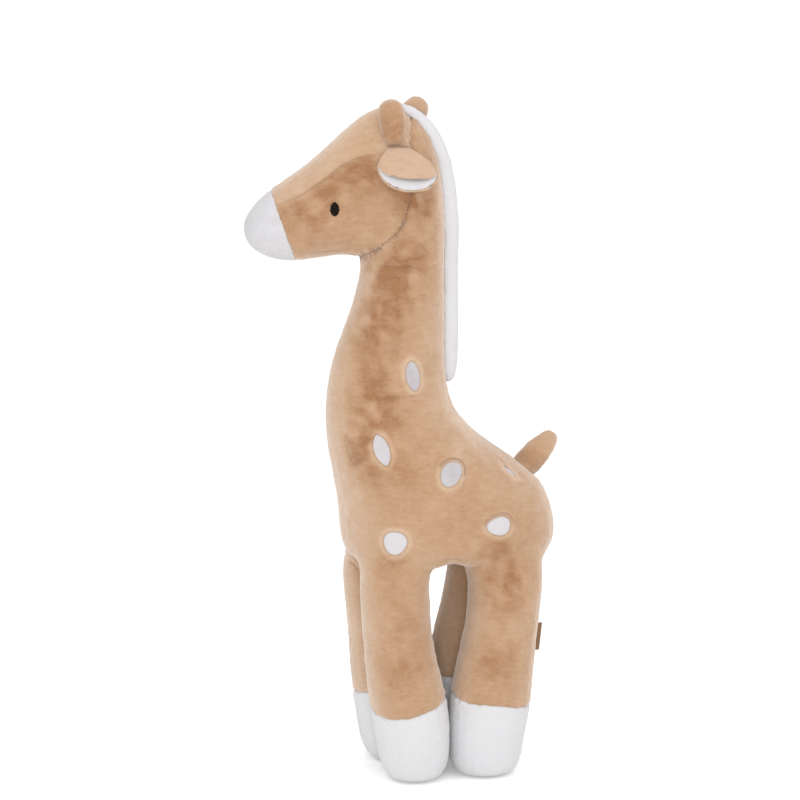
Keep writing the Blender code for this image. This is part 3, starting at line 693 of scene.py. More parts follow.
# %% Subdivide and fit
FIT_SHARE = 0.65
FIT_REACH = 6 * MM
FIT_FACING = 0.5
SKIN_STAND = 0.35 * MM
FILLET_LOW = 0.132
FILLET_HIGH = 0.190
FILLET_EDGE = 0.016
BELLY_FACING = 0.70
BELLY_FACING_RUN = 0.4
SEAM_WAVER = 0.22 * MM
SEAM_WAVER_SIZE = 4.5 * MM
THROAT_WAVER = 2.2
# How many millimetres a white foot reaches above its solid, from its front to its back
ANKLE_LIFTS = {
    "front": ((0.1, 0.0), (0.38, 1.4), (0.63, 4.2), (0.90, 6.5)),
    "rear": ((0.0, 0.0), (0.2, 1.6), (0.35, 4.0), (0.5, 5.4), (0.75, 5.4), (1.0, 4.4)),
}

skin = shaped("fine", skin, ("SUBSURF", {"levels": 2, "render_levels": 2}))
fine_edges = edges_of(skin)
points = points_of(skin)
owner = nearest_node(points)
fillet = soft_step((points[:, 2] - FILLET_LOW) / FILLET_EDGE) * soft_step(
    (FILLET_HIGH - points[:, 2]) / FILLET_EDGE)
outward = normals_of(skin)
fillet *= soft_step((outward[:, 2] + BELLY_FACING) / BELLY_FACING_RUN)
for number, node in enumerate(SKIN_NODES):
    for row in np.flatnonzero(owner == number):
        hit, normal, _, _ = trees[node].find_nearest(points[row], FIT_REACH)
        if hit is None or normal.dot(Vector(outward[row])) < FIT_FACING:
            continue
        goal = np.array(hit) + SKIN_STAND * np.array(normal)
        points[row] += FIT_SHARE * (1 - fillet[row]) * (goal - points[row])
points = smoothed(points, fine_edges, rounds=3, share=0.5)
points = smoothed(points, fine_edges, rounds=50, share=0.5, mask=fillet)
seam_fields = {seam: seam_field(points, owner, seam) for seam in SEAMS}

leg_share = points[:, 2] < SPREAD_TOP
side = np.sign(points[:, 0])
pair = np.where(points[:, 1] < hoof_contact, -1, 1)
points[leg_share] = spread(points[leg_share], side[leg_share], pair[leg_share], -1.0)
set_points(skin, points)
for limb in LIMBS:
    lowest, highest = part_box(limb + "_hoof")
    shares, lifts = np.array(ANKLE_LIFTS[limb.split("_")[0]]).T
    lift = np.interp((points[:, 1] - lowest.y) / (highest.y - lowest.y), shares, lifts) * MM
    seam_fields[limb] = (seam_fields[limb][0] + lift, seam_fields[limb][1])
for seam, (field, on_seam) in seam_fields.items():
    waver = SEAM_WAVER * (THROAT_WAVER if seam == "throat" else 1)
    seam_fields[seam] = (field + waver * soft_noise(points, SEAM_WAVER_SIZE, 8), on_seam)
print("fine skin", len(skin.polygons), "faces")

# %% [markdown]
# ## Creases, seams and puckers
#
# Relief is added along the skin's normals: a soft valley with small puckers along each seam, a
# few creases where the filling folds the fabric, and a faint unevenness everywhere. Creases
# are listed by where they are seen in the picture, and lines of sight put them on the skin.

# %% Find places seen in the picture
skin_tree = tree_of(skin)
head_axis = Vector(joints["right_ear_root"]["axis"])
HEAD_TURN = -np.arctan2(head_axis[0], head_axis[1])
NECK_AXIS = Vector((0, -0.0025, 0))
HEAD_FROM = 0.385
CREASE_FADE = 4


def mirrored(point):
    """The same place on the toy's other side, in the turned head or on the straight body."""
    if point.z < HEAD_FROM:
        return Vector((-point.x, point.y, point.z))
    turn = Matrix.Rotation(HEAD_TURN, 3, "Z")
    local = turn.inverted() @ (point - NECK_AXIS)
    local.x = -local.x
    return turn @ local + NECK_AXIS


def seen_at(pixel):
    """Where a line of sight first meets the skin."""
    sight = line_of_sight(pixel)
    hit = skin_tree.ray_cast(camera_place, sight)[0]
    if hit is None:
        hit = skin_tree.find_nearest(camera_place + sight * CAMERA_DISTANCE)[0]
    return hit


def soft_ends(along, past):
    """1 along a crease, and fading at its ends, which reach past its line by a share."""
    return np.minimum(1, CREASE_FADE * np.minimum(along + past, 1 + past - along))


def line_distance(points, line):
    """How far each point is from a line of straight runs, and how far along it, from 0 to 1."""
    lengths = [(end - start).length for start, end in zip(line, line[1:])]
    total = sum(lengths)
    best = np.full(len(points), 1.0)
    along = np.zeros(len(points))
    done = 0.0
    for start, end, length in zip(line, line[1:], lengths):
        run = np.array(end - start)
        share = np.clip((points - np.array(start)) @ run / (run @ run), 0, 1)
        gap = np.linalg.norm(points - np.array(start) - share[:, None] * run, axis=1)
        closer = gap < best
        best[closer] = gap[closer]
        along[closer] = (done + share[closer] * length) / total
        done += length
    return best, along


# Creases as seen in the picture: places along each, then its depth and half width in millimetres
CREASE_PIXELS = {
    "forehead_seam": (((277, 205), (299, 196), (313, 187), (327, 177), (340, 166), (357, 158),
                       (376, 154), (384, 152)), 0.8, 1.8),
    "throat_fold": (((375, 264), (386, 266), (398, 267.5), (409, 266.5), (418, 268), (424, 269)),
                    1.1, 1.2),
    "throat_fold_low": (((384, 276), (395, 278), (408, 278)), 0.6, 1.3),
    "throat_fold_high": (((400, 260), (410, 259.5), (419, 257.5), (425, 253)), 0.8, 1.1),
    "nape_fold_high": (((429, 266.5), (436, 266)), 0.5, 1.1),
    "nape_fold": (((432, 306), (441, 305)), 0.4, 1.4),
    "neck_fold": (((382, 352), (392, 348), (404, 356)), 0.4, 1.6),
    "collar_fold": (((376, 399), (392, 398), (410, 397), (424, 393)), 0.6, 1.8),
    "chest_fold": (((344, 440), (350, 458), (353, 465), (366, 457)), 0.6, 2.6),
    "groin_seam": (((440, 563), (447, 560.5), (456, 560), (465, 564)), 1.0, 1.3),
    "front_groin": (((349, 561), (354, 565), (359, 573)), 1.0, 2.2),
    "chin_fold": (((300, 251), (330, 251), (352, 250)), 0.3, 1.4),
    "cheek_pucker": (((306, 216), (307, 225), (306, 234)), 0.35, 1.2),
    "spot_fold": (((388, 561), (397, 563), (409, 562)), 0.4, 1.8),
    "flank_flap": (((466, 470), (466, 480), (461, 492), (448, 499)), 0.35, 1.4),
    "rump_slit": (((500, 459), (504, 464), (509, 471)), 1.1, 1.2),
    "rump_fold": (((515, 481), (521, 484), (526, 484)), 0.4, 2.0),
}
# Patches of nap as seen in the picture: middle, radius in millimetres, and strength, deeper where
# positive. The pale ones at the back, the rump, the rear leg and the edges of the neck and chest
# are painted sheen, and the deep ones just below the ear are painted shade
NAP_AND_PAINTED_LIGHT_PIXELS = (
    ((399, 270), 16, 0.75), ((388, 290), 16, 0.45), ((385, 312), 17, 0.70), ((372, 332), 14, 0.50),
    ((363, 350), 11, 0.30), ((372, 388), 11, 0.80), ((384, 396), 12, 0.45), ((386, 419), 12, 0.60),
    ((366, 424), 11, 0.35), ((359, 448), 10, 0.95), ((372, 470), 10, 0.25), ((400, 470), 16, 0.25),
    ((392, 355), 12, 0.30), ((452, 517), 12, 0.20), ((500, 553), 11, 0.65), ((510, 583), 11, 0.40),
    ((506, 606), 11, 0.60), ((494, 575), 13, 0.35), ((498, 660), 12, 0.48), ((490, 668), 9, 0.30),
    ((390, 564), 12, 0.40), ((406, 620), 12, 0.35), ((397, 677), 15, 0.30), ((420, 660), 12, 0.20),
    ((361, 166), 10, 0.55), ((345, 178), 11, 0.45), ((327, 190), 10, 0.75), ((307, 218), 11, 0.80),
    ((290, 218), 9, 0.30), ((383, 180), 12, 0.55), ((372, 172), 10, 0.40), ((415, 250), 13, 0.40),
    ((420, 215), 12, 0.30), ((398, 205), 10, 0.15), ((516, 520), 13, 0.15), ((332, 222), 6, -0.30),
    ((360, 222), 26, 0.12), ((425, 199), 9, 0.80), ((408, 199), 8, 0.60), ((424, 300), 12, -0.25),
    ((426, 340), 14, -0.30), ((440, 400), 14, -0.35), ((345, 380), 12, -0.20), ((348, 500), 16, -0.20),
    ((470, 440), 18, -0.30), ((520, 500), 14, -0.25), ((425, 560), 14, -0.15), ((435, 520), 14, -0.15),
    ((533, 605), 10, -0.25), ((465, 430), 14, -0.35),
)
# The forehead is a panel of its own above its seam, with a paler nap
FOREHEAD_PALER = 0.35
FOREHEAD_EVEN = 0.8
MUZZLE_DEEPER = 0.60
INNER_PAINTED_LIGHT = 0.30
EDGE_PAINTED_SHEEN = 0.55
EDGE_FACING = 0.50
EDGE_ROUNDS = 25
INNER_FACING_RUN = 0.5
NAP_AND_PAINTED_LIGHT_WARP = 0.35
NAP_AND_PAINTED_LIGHT_WARP_SIZE = 14 * MM
FOREHEAD_EDGE = 3 * MM
FINE_UNEVEN = 0.10 * MM
FINE_UNEVEN_SIZE = 5 * MM
BROAD_UNEVEN = 0.12 * MM
BROAD_UNEVEN_SIZE = 16 * MM

# The first field holds shade painted into seams, creases, rim edges and roots; the second holds the
# nap's own tone, with painted sheen on edges, painted light inside the legs and painted shade below
# the ears
fields = {"painted_shade": np.zeros(len(points)), "nap_and_painted_light": np.zeros(len(points))}
outward = normals_of(skin)
rise = (FINE_UNEVEN * soft_noise(points, FINE_UNEVEN_SIZE, 1)
        + BROAD_UNEVEN * soft_noise(points, BROAD_UNEVEN_SIZE, 2))
print("creases", len(CREASE_PIXELS), "brushed patches", len(NAP_AND_PAINTED_LIGHT_PIXELS))

# %% Work out the relief
# Depth and half width of each seam's valley, and how much shade is painted into it
SEAM_VALLEYS = {"throat": (0.9 * MM, 1.9 * MM, 0.30), "nose": (0.4 * MM, 1.5 * MM, 0.0)}
HOOF_VALLEY = (0.7 * MM, 1.6 * MM, 0.05)
# The height, place and width of a valley's ridges, as shares of its depth and half width
SEAM_RIDGE_SHARES = (0.3, 2.4, 1.3)
CREASE_RIDGE_SHARES = (0.22, 2.0, 1.2)
SEAM_SHADE_SHARE = 0.45
PUCKER_REACH_SHARE = 3
# Above this height the shade painted into the seams fades out
SEAM_FADE_FROM = 0.420
SEAM_FADE_RUN = 0.030
SEAM_FADE = 0.85
CREASE_PAST_SHARE = 0.04
CREASE_SHADE = 0.45
CREASE_SHADE_SHARE = 0.5
THROAT_CORNER_TOP = 0.398
THROAT_CORNER_RUN = 0.010
THROAT_CORNER_DEPTH = 2.0 * MM
THROAT_CORNER_WIDTH = 2.8 * MM
BELLY_ARCH = 2.4 * MM
BELLY_ARCH_HALF = 9 * MM
UNDERSIDE_FROM = 0.2
UNDERSIDE_RUN = 0.5
PUCKER_SIZE = 4.5 * MM
PUCKER_RISE = 0.45 * MM
pucker = soft_noise(points, PUCKER_SIZE, 3)

for seam, (field, on_seam) in seam_fields.items():
    gap = np.abs(field)
    depth, width, shade = SEAM_VALLEYS.get(seam, HOOF_VALLEY)
    rise += depth * valley(gap, width, SEAM_RIDGE_SHARES)
    puckering = PUCKER_RISE * depth / SEAM_VALLEYS["throat"][0]
    rise += puckering * pucker * bell(gap, PUCKER_REACH_SHARE * width)
    if seam == "throat":
        corner = soft_step((THROAT_CORNER_TOP - points[:, 2]) / THROAT_CORNER_RUN)
        rise -= THROAT_CORNER_DEPTH * corner * bell(gap, THROAT_CORNER_WIDTH)
    # Shade painted into each seam's valley, fading out higher up on the head
    faded = 1 - SEAM_FADE * soft_step((points[:, 2] - SEAM_FADE_FROM) / SEAM_FADE_RUN)
    fields["painted_shade"] += shade * faded * bell(gap, SEAM_SHADE_SHARE * width)

underside = soft_step((-outward[:, 2] - UNDERSIDE_FROM) / UNDERSIDE_RUN) * lies_on(owner, "torso")
rise -= BELLY_ARCH * underside * bell(points[:, 1] - hoof_contact, BELLY_ARCH_HALF)

for pixels, depth, width in CREASE_PIXELS.values():
    line = [seen_at(pixel) for pixel in pixels]
    for one_side in (line, [mirrored(point) for point in line]):
        gap, along = line_distance(points, one_side)
        ends = soft_ends(along, CREASE_PAST_SHARE)
        rise += depth * MM * ends * valley(gap, width * MM, CREASE_RIDGE_SHARES)
        # Shade painted into each crease
        dark = bell(gap, CREASE_SHADE_SHARE * width * MM)
        fields["painted_shade"] += CREASE_SHADE * depth * ends * dark

warp = 1 + NAP_AND_PAINTED_LIGHT_WARP * soft_noise(points, NAP_AND_PAINTED_LIGHT_WARP_SIZE, 5)
for pixel, radius, strength in NAP_AND_PAINTED_LIGHT_PIXELS:
    middle = seen_at(pixel)
    for place in (middle, mirrored(middle)):
        gap = np.linalg.norm(points - np.array(place), axis=1)
        fields["nap_and_painted_light"] += strength * bell(gap, radius * MM * warp)

head_side = (points - np.array(NECK_AXIS)) @ np.array(head_axis)
seam_line = np.array([seen_at(pixel) for pixel in CREASE_PIXELS["forehead_seam"][0]])
seam_side = (seam_line - np.array(NECK_AXIS)) @ np.array(head_axis)
above_seam = points[:, 2] - np.interp(head_side, seam_side, seam_line[:, 2])
forehead = soft_step(above_seam / FOREHEAD_EDGE + 0.5) * lies_on(owner, "head")
fields["nap_and_painted_light"] *= 1 - FOREHEAD_EVEN * forehead
fields["nap_and_painted_light"] -= FOREHEAD_PALER * forehead
fields["nap_and_painted_light"] += MUZZLE_DEEPER * lies_on(owner, "muzzle")
# Painted light: the insides of the legs, in shade between them, are made paler
inner = soft_step((SPREAD_TOP - points[:, 2]) / SPREAD_RUN)
inner *= soft_step(-side * outward[:, 0] / INNER_FACING_RUN)
fields["nap_and_painted_light"] -= INNER_PAINTED_LIGHT * inner
# Painted sheen: where the skin faces along the toy's length, which from the camera's side are its
# outline's edges, it is made paler
broadly = smoothed(outward, fine_edges, EDGE_ROUNDS, share=0.5)
edge = soft_step((np.abs(broadly[:, 1]) - EDGE_FACING) / (1 - EDGE_FACING))
fields["nap_and_painted_light"] -= EDGE_PAINTED_SHEEN * edge * ~lies_on(owner, "head", "muzzle")
print("deepest", round(float(-rise.min()) / MM, 2), "mm")

# %% [markdown]
# ## White ovals
#
# Each spot is a hole cut in the tan plush over a white patch, with the cut edge turned under,
# so a soft, paler rim stands round a slightly sunk white oval. The solid of each spot gives the
# oval: its middle, its two half lengths and the way it faces. A hand-cut hole is no true oval,
# so some have pointed ends, like a leaf, and some bulge towards three corners.

# %% Shape the rims of the ovals
SPOT_NAMES = ("neck", "chest", "flank", "shoulder", "hip", "rump")
SPOT_NODES = [f"{side_name}_{name}_spot" for side_name in ("left", "right") for name in SPOT_NAMES]
SPOT_POINTED = {"neck": 0.25, "chest": 0.65, "flank": 0.10, "rump": 1.0}
SPOT_CORNERS = {"shoulder": (0.05, radians(-85)), "hip": (0.06, radians(-85)),
                "flank": (0.03, radians(30))}
SPOT_NARROWING = {"rump": (0.42, 0.60), "chest": (0.95, 0.90)}
SPOT_TURNS = {"flank": radians(15), "rump": radians(32)}
SPOT_SHIFTS = {"rump": -3.6 * MM}
# How dark a thin shadow is painted just outside an oval's upper edge, where its folded rim would cast
# one
SPOT_RIM_SHADOWS = {"flank": 0.70, "hip": 0.55}
RIM_SHADOW_OUT = 2.2 * MM
RIM_SHADOW_WIDTH = 0.9 * MM
RIM_SHADOW_RUN = 4 * MM
RIM_WIDTH = 1.5 * MM
RIM_RISE = 0.60 * MM
RIM_OUT = 1.6 * MM
RIM_PALER = 0.65
RIM_PALER_SHARE = 1.5
# Shade painted along each oval's cut edge
RIM_EDGE_SHADE = 0.16
RIM_EDGE_SHADE_WIDTH = 0.6 * MM
OVAL_SINK = 0.55 * MM
OVAL_REACH = 12 * MM
OVAL_DEPTH = 10 * MM
NAP_AND_PAINTED_LIGHT_LIMITS = (-0.8, 0.9)


def oval_of(node):
    """Middle, upward and backward directions, facing and half sizes of what a thin solid covers."""
    places = points_of(solids[node])
    middle = (places.min(0) + places.max(0)) / 2
    _, _, axes = np.linalg.svd(places - places.mean(0), full_matrices=False)
    facing = axes[2] * np.sign(axes[2][0] * middle[0])
    upward, backward = sorted(axes[:2], key=lambda axis: -abs(axis[2]))
    upward = upward * np.sign(upward[2])
    backward = backward * np.sign(backward[1])
    return (middle, upward, backward, facing,
            np.ptp(places @ upward) / 2, np.ptp(places @ backward) / 2)


def oval_field(points, node):
    """Distance to a spot's outline in metres, negative inside it, and the points that it counts for.

    Two arcs that meet in points make a lens, and with no offset between them an oval.
    """
    middle, upward, backward, facing, half_tall, half_wide = ovals[node]
    name = node.split("_")[1]
    narrow_tall, narrow_wide = SPOT_NARROWING.get(name, (1, 1))
    half_tall, half_wide = half_tall * narrow_tall, half_wide * narrow_wide
    offset = points - middle - SPOT_SHIFTS.get(name, 0) * backward
    turn = SPOT_TURNS.get(name, 0)
    upward, backward = (upward * cos(turn) + backward * sin(turn),
                        backward * cos(turn) - upward * sin(turn))
    tall, wide = offset @ upward / half_tall, offset @ backward / half_wide
    corner, toward = SPOT_CORNERS.get(name, (0, 0))
    swell = 1 + corner * np.cos(3 * (np.arctan2(wide, tall) - toward))
    tall, wide = tall / swell, wide / swell
    half_long, half_short = half_tall, half_wide
    if half_tall < half_wide:
        tall, wide, half_long, half_short = wide, tall, half_wide, half_tall
    pointed = SPOT_POINTED.get(name, 0)
    reach = np.sqrt((1 + 2 * pointed) * tall ** 2 + (np.abs(wide) + pointed) ** 2) + 1e-9
    slope = np.hypot((1 + 2 * pointed) * tall / half_long,
                     (np.abs(wide) + pointed) / half_short) / reach
    field = (reach - 1 - pointed) / np.maximum(slope, 0.5 / half_long)
    on_oval = (field < OVAL_REACH) & (np.abs(offset @ facing) < OVAL_DEPTH)
    return field, on_oval


ovals = {node: oval_of(node) for node in SPOT_NODES}
for node, (middle, upward, *_) in ovals.items():
    field, on_oval = oval_field(points, node)
    rim = RIM_RISE * bell(field - RIM_OUT, RIM_WIDTH)
    sink = OVAL_SINK * soft_step(0.5 - field / RIM_WIDTH)
    rise += np.where(on_oval, rim - sink, 0)
    paler = bell(field - RIM_OUT, RIM_PALER_SHARE * RIM_WIDTH) * (field > -RIM_WIDTH)
    fields["nap_and_painted_light"] -= np.where(on_oval, RIM_PALER * paler, 0)
    # Painted shadow above some ovals under the folded rim, and painted shade along every cut edge
    raised = soft_step((points - middle) @ upward / RIM_SHADOW_RUN)
    shade = RIM_EDGE_SHADE * bell(field, RIM_EDGE_SHADE_WIDTH)
    shade += SPOT_RIM_SHADOWS.get(node.split("_")[1], 0) * raised * bell(field - RIM_SHADOW_OUT, RIM_SHADOW_WIDTH)
    fields["painted_shade"] += np.where(on_oval, shade, 0)

fields["painted_shade"] = np.clip(fields["painted_shade"], 0, 1)
fields["nap_and_painted_light"] = np.clip(fields["nap_and_painted_light"], *NAP_AND_PAINTED_LIGHT_LIMITS)
points = points + rise[:, None] * outward
print("ovals", len(ovals))

# %% [markdown]
# ## Pressing the feet together
#
# Stuffed feet that stand close press each other flat, and the floor presses their soles flat.

# %% Press and level
PRESS_GAP = 0.15 * MM
lower = points[:, 2] < FILLET_LOW
front = lower & (pair < 0)
rear = lower & (pair > 0)
points[front, 1] = np.minimum(points[front, 1], hoof_contact - PRESS_GAP)
points[rear, 1] = np.maximum(points[rear, 1], hoof_contact + PRESS_GAP)
for sign in (1, -1):
    rows = lower & (side == sign)
    points[rows, 0] = sign * np.maximum(sign * points[rows, 0], PRESS_GAP)
points[:, 2] = np.maximum(points[:, 2], 0)
set_points(skin, points)
for name, values in fields.items():
    set_field(skin, name, values)

# %% [markdown]
# ## Cutting the skin at its seams
#
# The skin is cut into panels where the seam fields change sign. Points next to a cut are first
# moved on to the line itself, so that the edge runs clean. Each panel's rim is then tucked in
# and closed, as a sewn edge turns inwards.

# %% Cut the panels
TUCK = 1.2 * MM


def snapped(mesh, field, active):
    """Moves the points beside a field's zero line on to it, and says which side each face is on."""
    edges = edges_of(mesh)
    quads = quads_of(mesh)
    places = points_of(mesh)
    face_side = active[quads].all(axis=1) & (field[quads].mean(axis=1) < 0)
    touches = np.zeros((len(places), 2), bool)
    touches[quads[face_side].ravel(), 1] = True
    touches[quads[~face_side].ravel(), 0] = True
    border = touches.all(axis=1)
    goal = np.zeros_like(places)
    hits = np.zeros(len(places))
    first, second = edges.T
    crossing = (field[first] * field[second] < 0) & active[first] & active[second]
    for start, end in ((first[crossing], second[crossing]), (second[crossing], first[crossing])):
        share = field[start] / (field[start] - field[end])
        place = places[start] + share[:, None] * (places[end] - places[start])
        np.add.at(goal, start, place)
        np.add.at(hits, start, 1)
    rows = border & (hits > 0)
    places[rows] = goal[rows] / hits[rows, None]
    set_points(mesh, places)
    return face_side


def kept_faces(mesh, keep):
    """A bmesh of the kept faces only."""
    form = form_of(mesh)
    form.faces.ensure_lookup_table()
    drop = [form.faces[int(row)] for row in np.flatnonzero(~keep)]
    bmesh.ops.delete(form, geom=drop, context="FACES")
    form.normal_update()
    return form


def place_of(vert):
    return tuple(round(value, 7) for value in vert.co)


def panel(mesh, keep):
    """The kept faces as a mesh of their own, its open rims tucked in and closed."""
    form = kept_faces(mesh, keep)
    rim = [edge for edge in form.edges if edge.is_boundary]
    rim_verts = dict.fromkeys(vert for edge in rim for vert in edge.verts)
    inwards = {place_of(vert): -vert.normal * TUCK for vert in rim_verts}
    for item in bmesh.ops.extrude_edge_only(form, edges=rim)["geom"]:
        if isinstance(item, bmesh.types.BMVert):
            item.co += inwards[place_of(item)]
    loops = [edge for edge in form.edges if edge.is_boundary]
    bmesh.ops.holes_fill(form, edges=loops, sides=0)
    bmesh.ops.recalc_face_normals(form, faces=form.faces)
    return mesh_from(form, "panel")


first_sides = {seam: snapped(skin, *found) for seam, found in seam_fields.items()}
skin_quads = quads_of(skin)
face_owner = owner[skin_quads[:, 0]]
for seam, first_side in first_sides.items():
    first, second = (SKIN_NODES.index(node) for node in SEAMS[seam])
    known = seam_fields[seam][1][skin_quads].all(axis=1)
    face_owner[known & first_side] = first
    face_owner[known & ~first_side] = second
print("panels", np.bincount(face_owner, minlength=len(SKIN_NODES)))

# %% Make the panels into pieces
BODY_NODES = ["torso", "neck"] + [limb + "_leg" for limb in LIMBS]
PANELS = {"body": BODY_NODES, "head": ["head"], "muzzle": ["muzzle"]}
PANELS.update({limb + "_hoof": [limb + "_hoof"] for limb in LIMBS})
for name, nodes in PANELS.items():
    material = tan_plush if name in ("body", "head") else white_plush
    finish_piece(name + "_skin", panel(skin, lies_on(face_owner, *nodes)), material, nodes)

# %% [markdown]
# ## The white patches
#
# Each patch is the skin under its oval, lifted off as a thin padded disc, so that it follows
# the body's curve exactly.

# %% Lay the patches
PATCH_THICKNESS = 0.9 * MM
PATCH_LIFT = 0.35 * MM
PATCH_CROWN = 0.35 * MM
PATCH_CROWN_RUN = 3 * MM
PATCH_EDGE = 0.8 * MM
PATCH_EDGE_SHADE = 0.5
SPOT_SHADES = {"neck": 0.85, "chest": 0.35, "flank": 0.70, "rump": 0.40}

for node in ovals:
    inside = snapped(skin, *oval_field(points_of(skin), node))
    sheet = shaped(node, mesh_from(kept_faces(skin, inside), node + "_sheet"),
                   ("SUBSURF", {"levels": 1, "render_levels": 1}))
    sheet_points = points_of(sheet)
    field, _ = oval_field(sheet_points, node)
    crown = PATCH_CROWN * soft_step(-field / PATCH_CROWN_RUN)
    set_points(sheet, sheet_points + (crown + PATCH_LIFT)[:, None] * normals_of(sheet))
    disc = shaped(node, sheet, ("SOLIDIFY", {"thickness": PATCH_THICKNESS, "offset": -1.0}))
    field, _ = oval_field(points_of(disc), node)
    # Shade painted where the patch's edge tucks under the rim
    set_field(disc, "painted_shade", PATCH_EDGE_SHADE * bell(field, PATCH_EDGE))
    set_field(disc, "nap_and_painted_light", np.full(len(field), SPOT_SHADES.get(node.split("_")[1], 0.0)))
    finish_piece(node + "_patch", disc, spot_plush, [node])

# %% [markdown]
# ## Horns, mane and tail
#
# These are stuffed shapes of their own. Each starts as its solid, grown so that its foot sinks
# into the skin, remeshed fine and smoothed until no facet shows. The horns get creases too.

# %% Stuff the small forms
EAR_DROOP = radians(44)
SMALL_VOXEL = 1.5 * MM
SMALL_GROW = 0.55 * MM
# Rise and size of each unevenness
SMALL_UNEVENS = ((0.12 * MM, 5 * MM), (0.15 * MM, 12 * MM))


def small_form(node, voxel=SMALL_VOXEL, rounds=10, seed=11, grow=SMALL_GROW):
    """A soft, evenly meshed copy of a solid."""
    mesh = shaped(node, solids[node].copy(),
                  ("DISPLACE", {"strength": grow, "mid_level": 0}),
                  ("REMESH", {"mode": "VOXEL", "voxel_size": voxel}))
    places = smoothed(points_of(mesh), edges_of(mesh), rounds, share=0.5)
    set_points(mesh, places)
    uneven = sum(rise * soft_noise(places, size, seed + number)
                 for number, (rise, size) in enumerate(SMALL_UNEVENS))
    set_points(mesh, places + uneven[:, None] * normals_of(mesh))
    for name in ("painted_shade", "nap_and_painted_light"):
        set_field(mesh, name, np.zeros(len(places)))
    return mesh


def creased(mesh, lines, depth, width, shade):
    """Adds creases along lines of points, all of one depth and half width, with shade painted into
    them.
    """
    places = points_of(mesh)
    drawn = np.zeros(len(places))
    lift = np.zeros(len(places))
    for line in lines:
        gap, along = line_distance(places, line)
        ends = soft_ends(along, HORN_CREASE_PAST_SHARE)
        lift += depth * ends * valley(gap, width, HORN_RIDGE_SHARES)
        drawn += shade * depth / MM * ends * bell(gap, HORN_SHADE_SHARE * width)
    set_points(mesh, places + lift[:, None] * normals_of(mesh))
    set_field(mesh, "painted_shade", np.clip(drawn, 0, 1))


def ear_frame(side_name):
    """Root, level outward direction, and the directions along, across and above one ear."""
    joint = joints[side_name + "_ear_root"]
    root = Vector(joint["pos_m"])
    back = Vector(joint["axis"]) * (-1 if side_name == "left" else 1)
    out = back.cross(Vector((0, 0, 1)))
    if side_name == "right":
        out = -out
    along = out * cos(EAR_DROOP) - Vector((0, 0, 1)) * sin(EAR_DROOP)
    above = out * sin(EAR_DROOP) + Vector((0, 0, 1)) * cos(EAR_DROOP)
    return root, out, along, back, above


HORN_CREASE_PIXELS = (((380, 123), (387, 122)), ((393, 138), (402, 140)), ((392, 130), (399, 127)))
HORN_CREASE_DEPTH = 0.5 * MM
HORN_CREASE_WIDTH = 1.2 * MM
HORN_CREASE_SHADE = 0.8
HORN_CREASE_PAST_SHARE = 0.1
HORN_RIDGE_SHARES = (0.35, 2, 1)
HORN_SHADE_SHARE = 0.6
HORN_BRUSHED_PIXEL = (393, 130)
HORN_BRUSHED_RADIUS = 10 * MM
HORN_BRUSHED = 0.75
HORN_FOOT = 0.490
HORN_FOOT_RUN = 0.016
HORN_FOOT_OUT = 2.0 * MM
HORN_FOOT_DROP = 4.0 * MM
horn_tree = tree_of(solids["left_horn"])


def on_left_horn(pixel):
    return horn_tree.ray_cast(camera_place, line_of_sight(pixel))[0]


horn_lines = [[on_left_horn(pixel) for pixel in pixels] for pixels in HORN_CREASE_PIXELS]
for side_name in ("left", "right"):
    to_side = mirrored if side_name == "right" else Vector
    horn = small_form(side_name + "_horn", seed=21)
    out = ear_frame(side_name)[1]
    places = points_of(horn)
    sunk = soft_step((HORN_FOOT - places[:, 2]) / HORN_FOOT_RUN)
    places += sunk[:, None] * (np.array(out) * HORN_FOOT_OUT - (0, 0, HORN_FOOT_DROP))
    set_points(horn, places)
    creased(horn, [[to_side(point) for point in line] for line in horn_lines if all(line)],
            HORN_CREASE_DEPTH, HORN_CREASE_WIDTH, HORN_CREASE_SHADE)
    middle = np.array(to_side(on_left_horn(HORN_BRUSHED_PIXEL)))
    away = np.linalg.norm(points_of(horn) - middle, axis=1)
    set_field(horn, "nap_and_painted_light", HORN_BRUSHED * bell(away, HORN_BRUSHED_RADIUS))
    finish_piece(side_name + "_horn_skin", horn, tan_plush, [side_name + "_horn"])

# %% Stuff the mane
MANE_GROW = 1.0 * MM
MANE_SINK = 0.7 * MM
mane = small_form("mane", voxel=1.6 * MM, rounds=8, seed=31, grow=MANE_GROW)
set_points(mane, points_of(mane) - (0, MANE_SINK, 0))
finish_piece("mane_skin", mane, white_plush, ["mane"])

# %% Stuff the tail
TAIL_BRUSHED = 0.45
TAIL_BRUSHED_FROM_ROOT = 9 * MM
TAIL_BRUSHED_REACH = 12 * MM
TAIL_PALER = 0.25
TAIL_ROOT_SHADE = 0.3
TAIL_SHADE_FROM_ROOT = 4 * MM
TAIL_SHADE_WIDTH = 3 * MM
tail_root = Vector(joints["tail_root"]["pos_m"])
tail = small_form("tail", voxel=1.3 * MM, rounds=8, seed=41)
tail_points = points_of(tail)
tail_tip = Vector(tail_points[np.argmax(tail_points[:, 2])])
tail_run = (tail_tip - tail_root).normalized()
reach = (tail_points - np.array(tail_root)) @ np.array(tail_run)
nap_and_painted_light = soft_step(1 - np.abs(reach - TAIL_BRUSHED_FROM_ROOT) / TAIL_BRUSHED_REACH)
set_field(tail, "nap_and_painted_light", TAIL_BRUSHED * nap_and_painted_light - TAIL_PALER)
# Shade painted round the tail's pinched root
set_field(tail, "painted_shade", TAIL_ROOT_SHADE * bell(reach - TAIL_SHADE_FROM_ROOT, TAIL_SHADE_WIDTH))
tail_skin = finish_piece("tail_skin", tail, tan_plush, ["tail"], body=None)
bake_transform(tail_skin)

# %% [markdown]
# ## Ears
#
# An ear is two sewn lips that open downwards from a gathered root: a short tan lip outside,
# and behind it a longer one that shows its white lining. All the layers share one leaf shape,
# a grid whose rows run from the root to the rim.

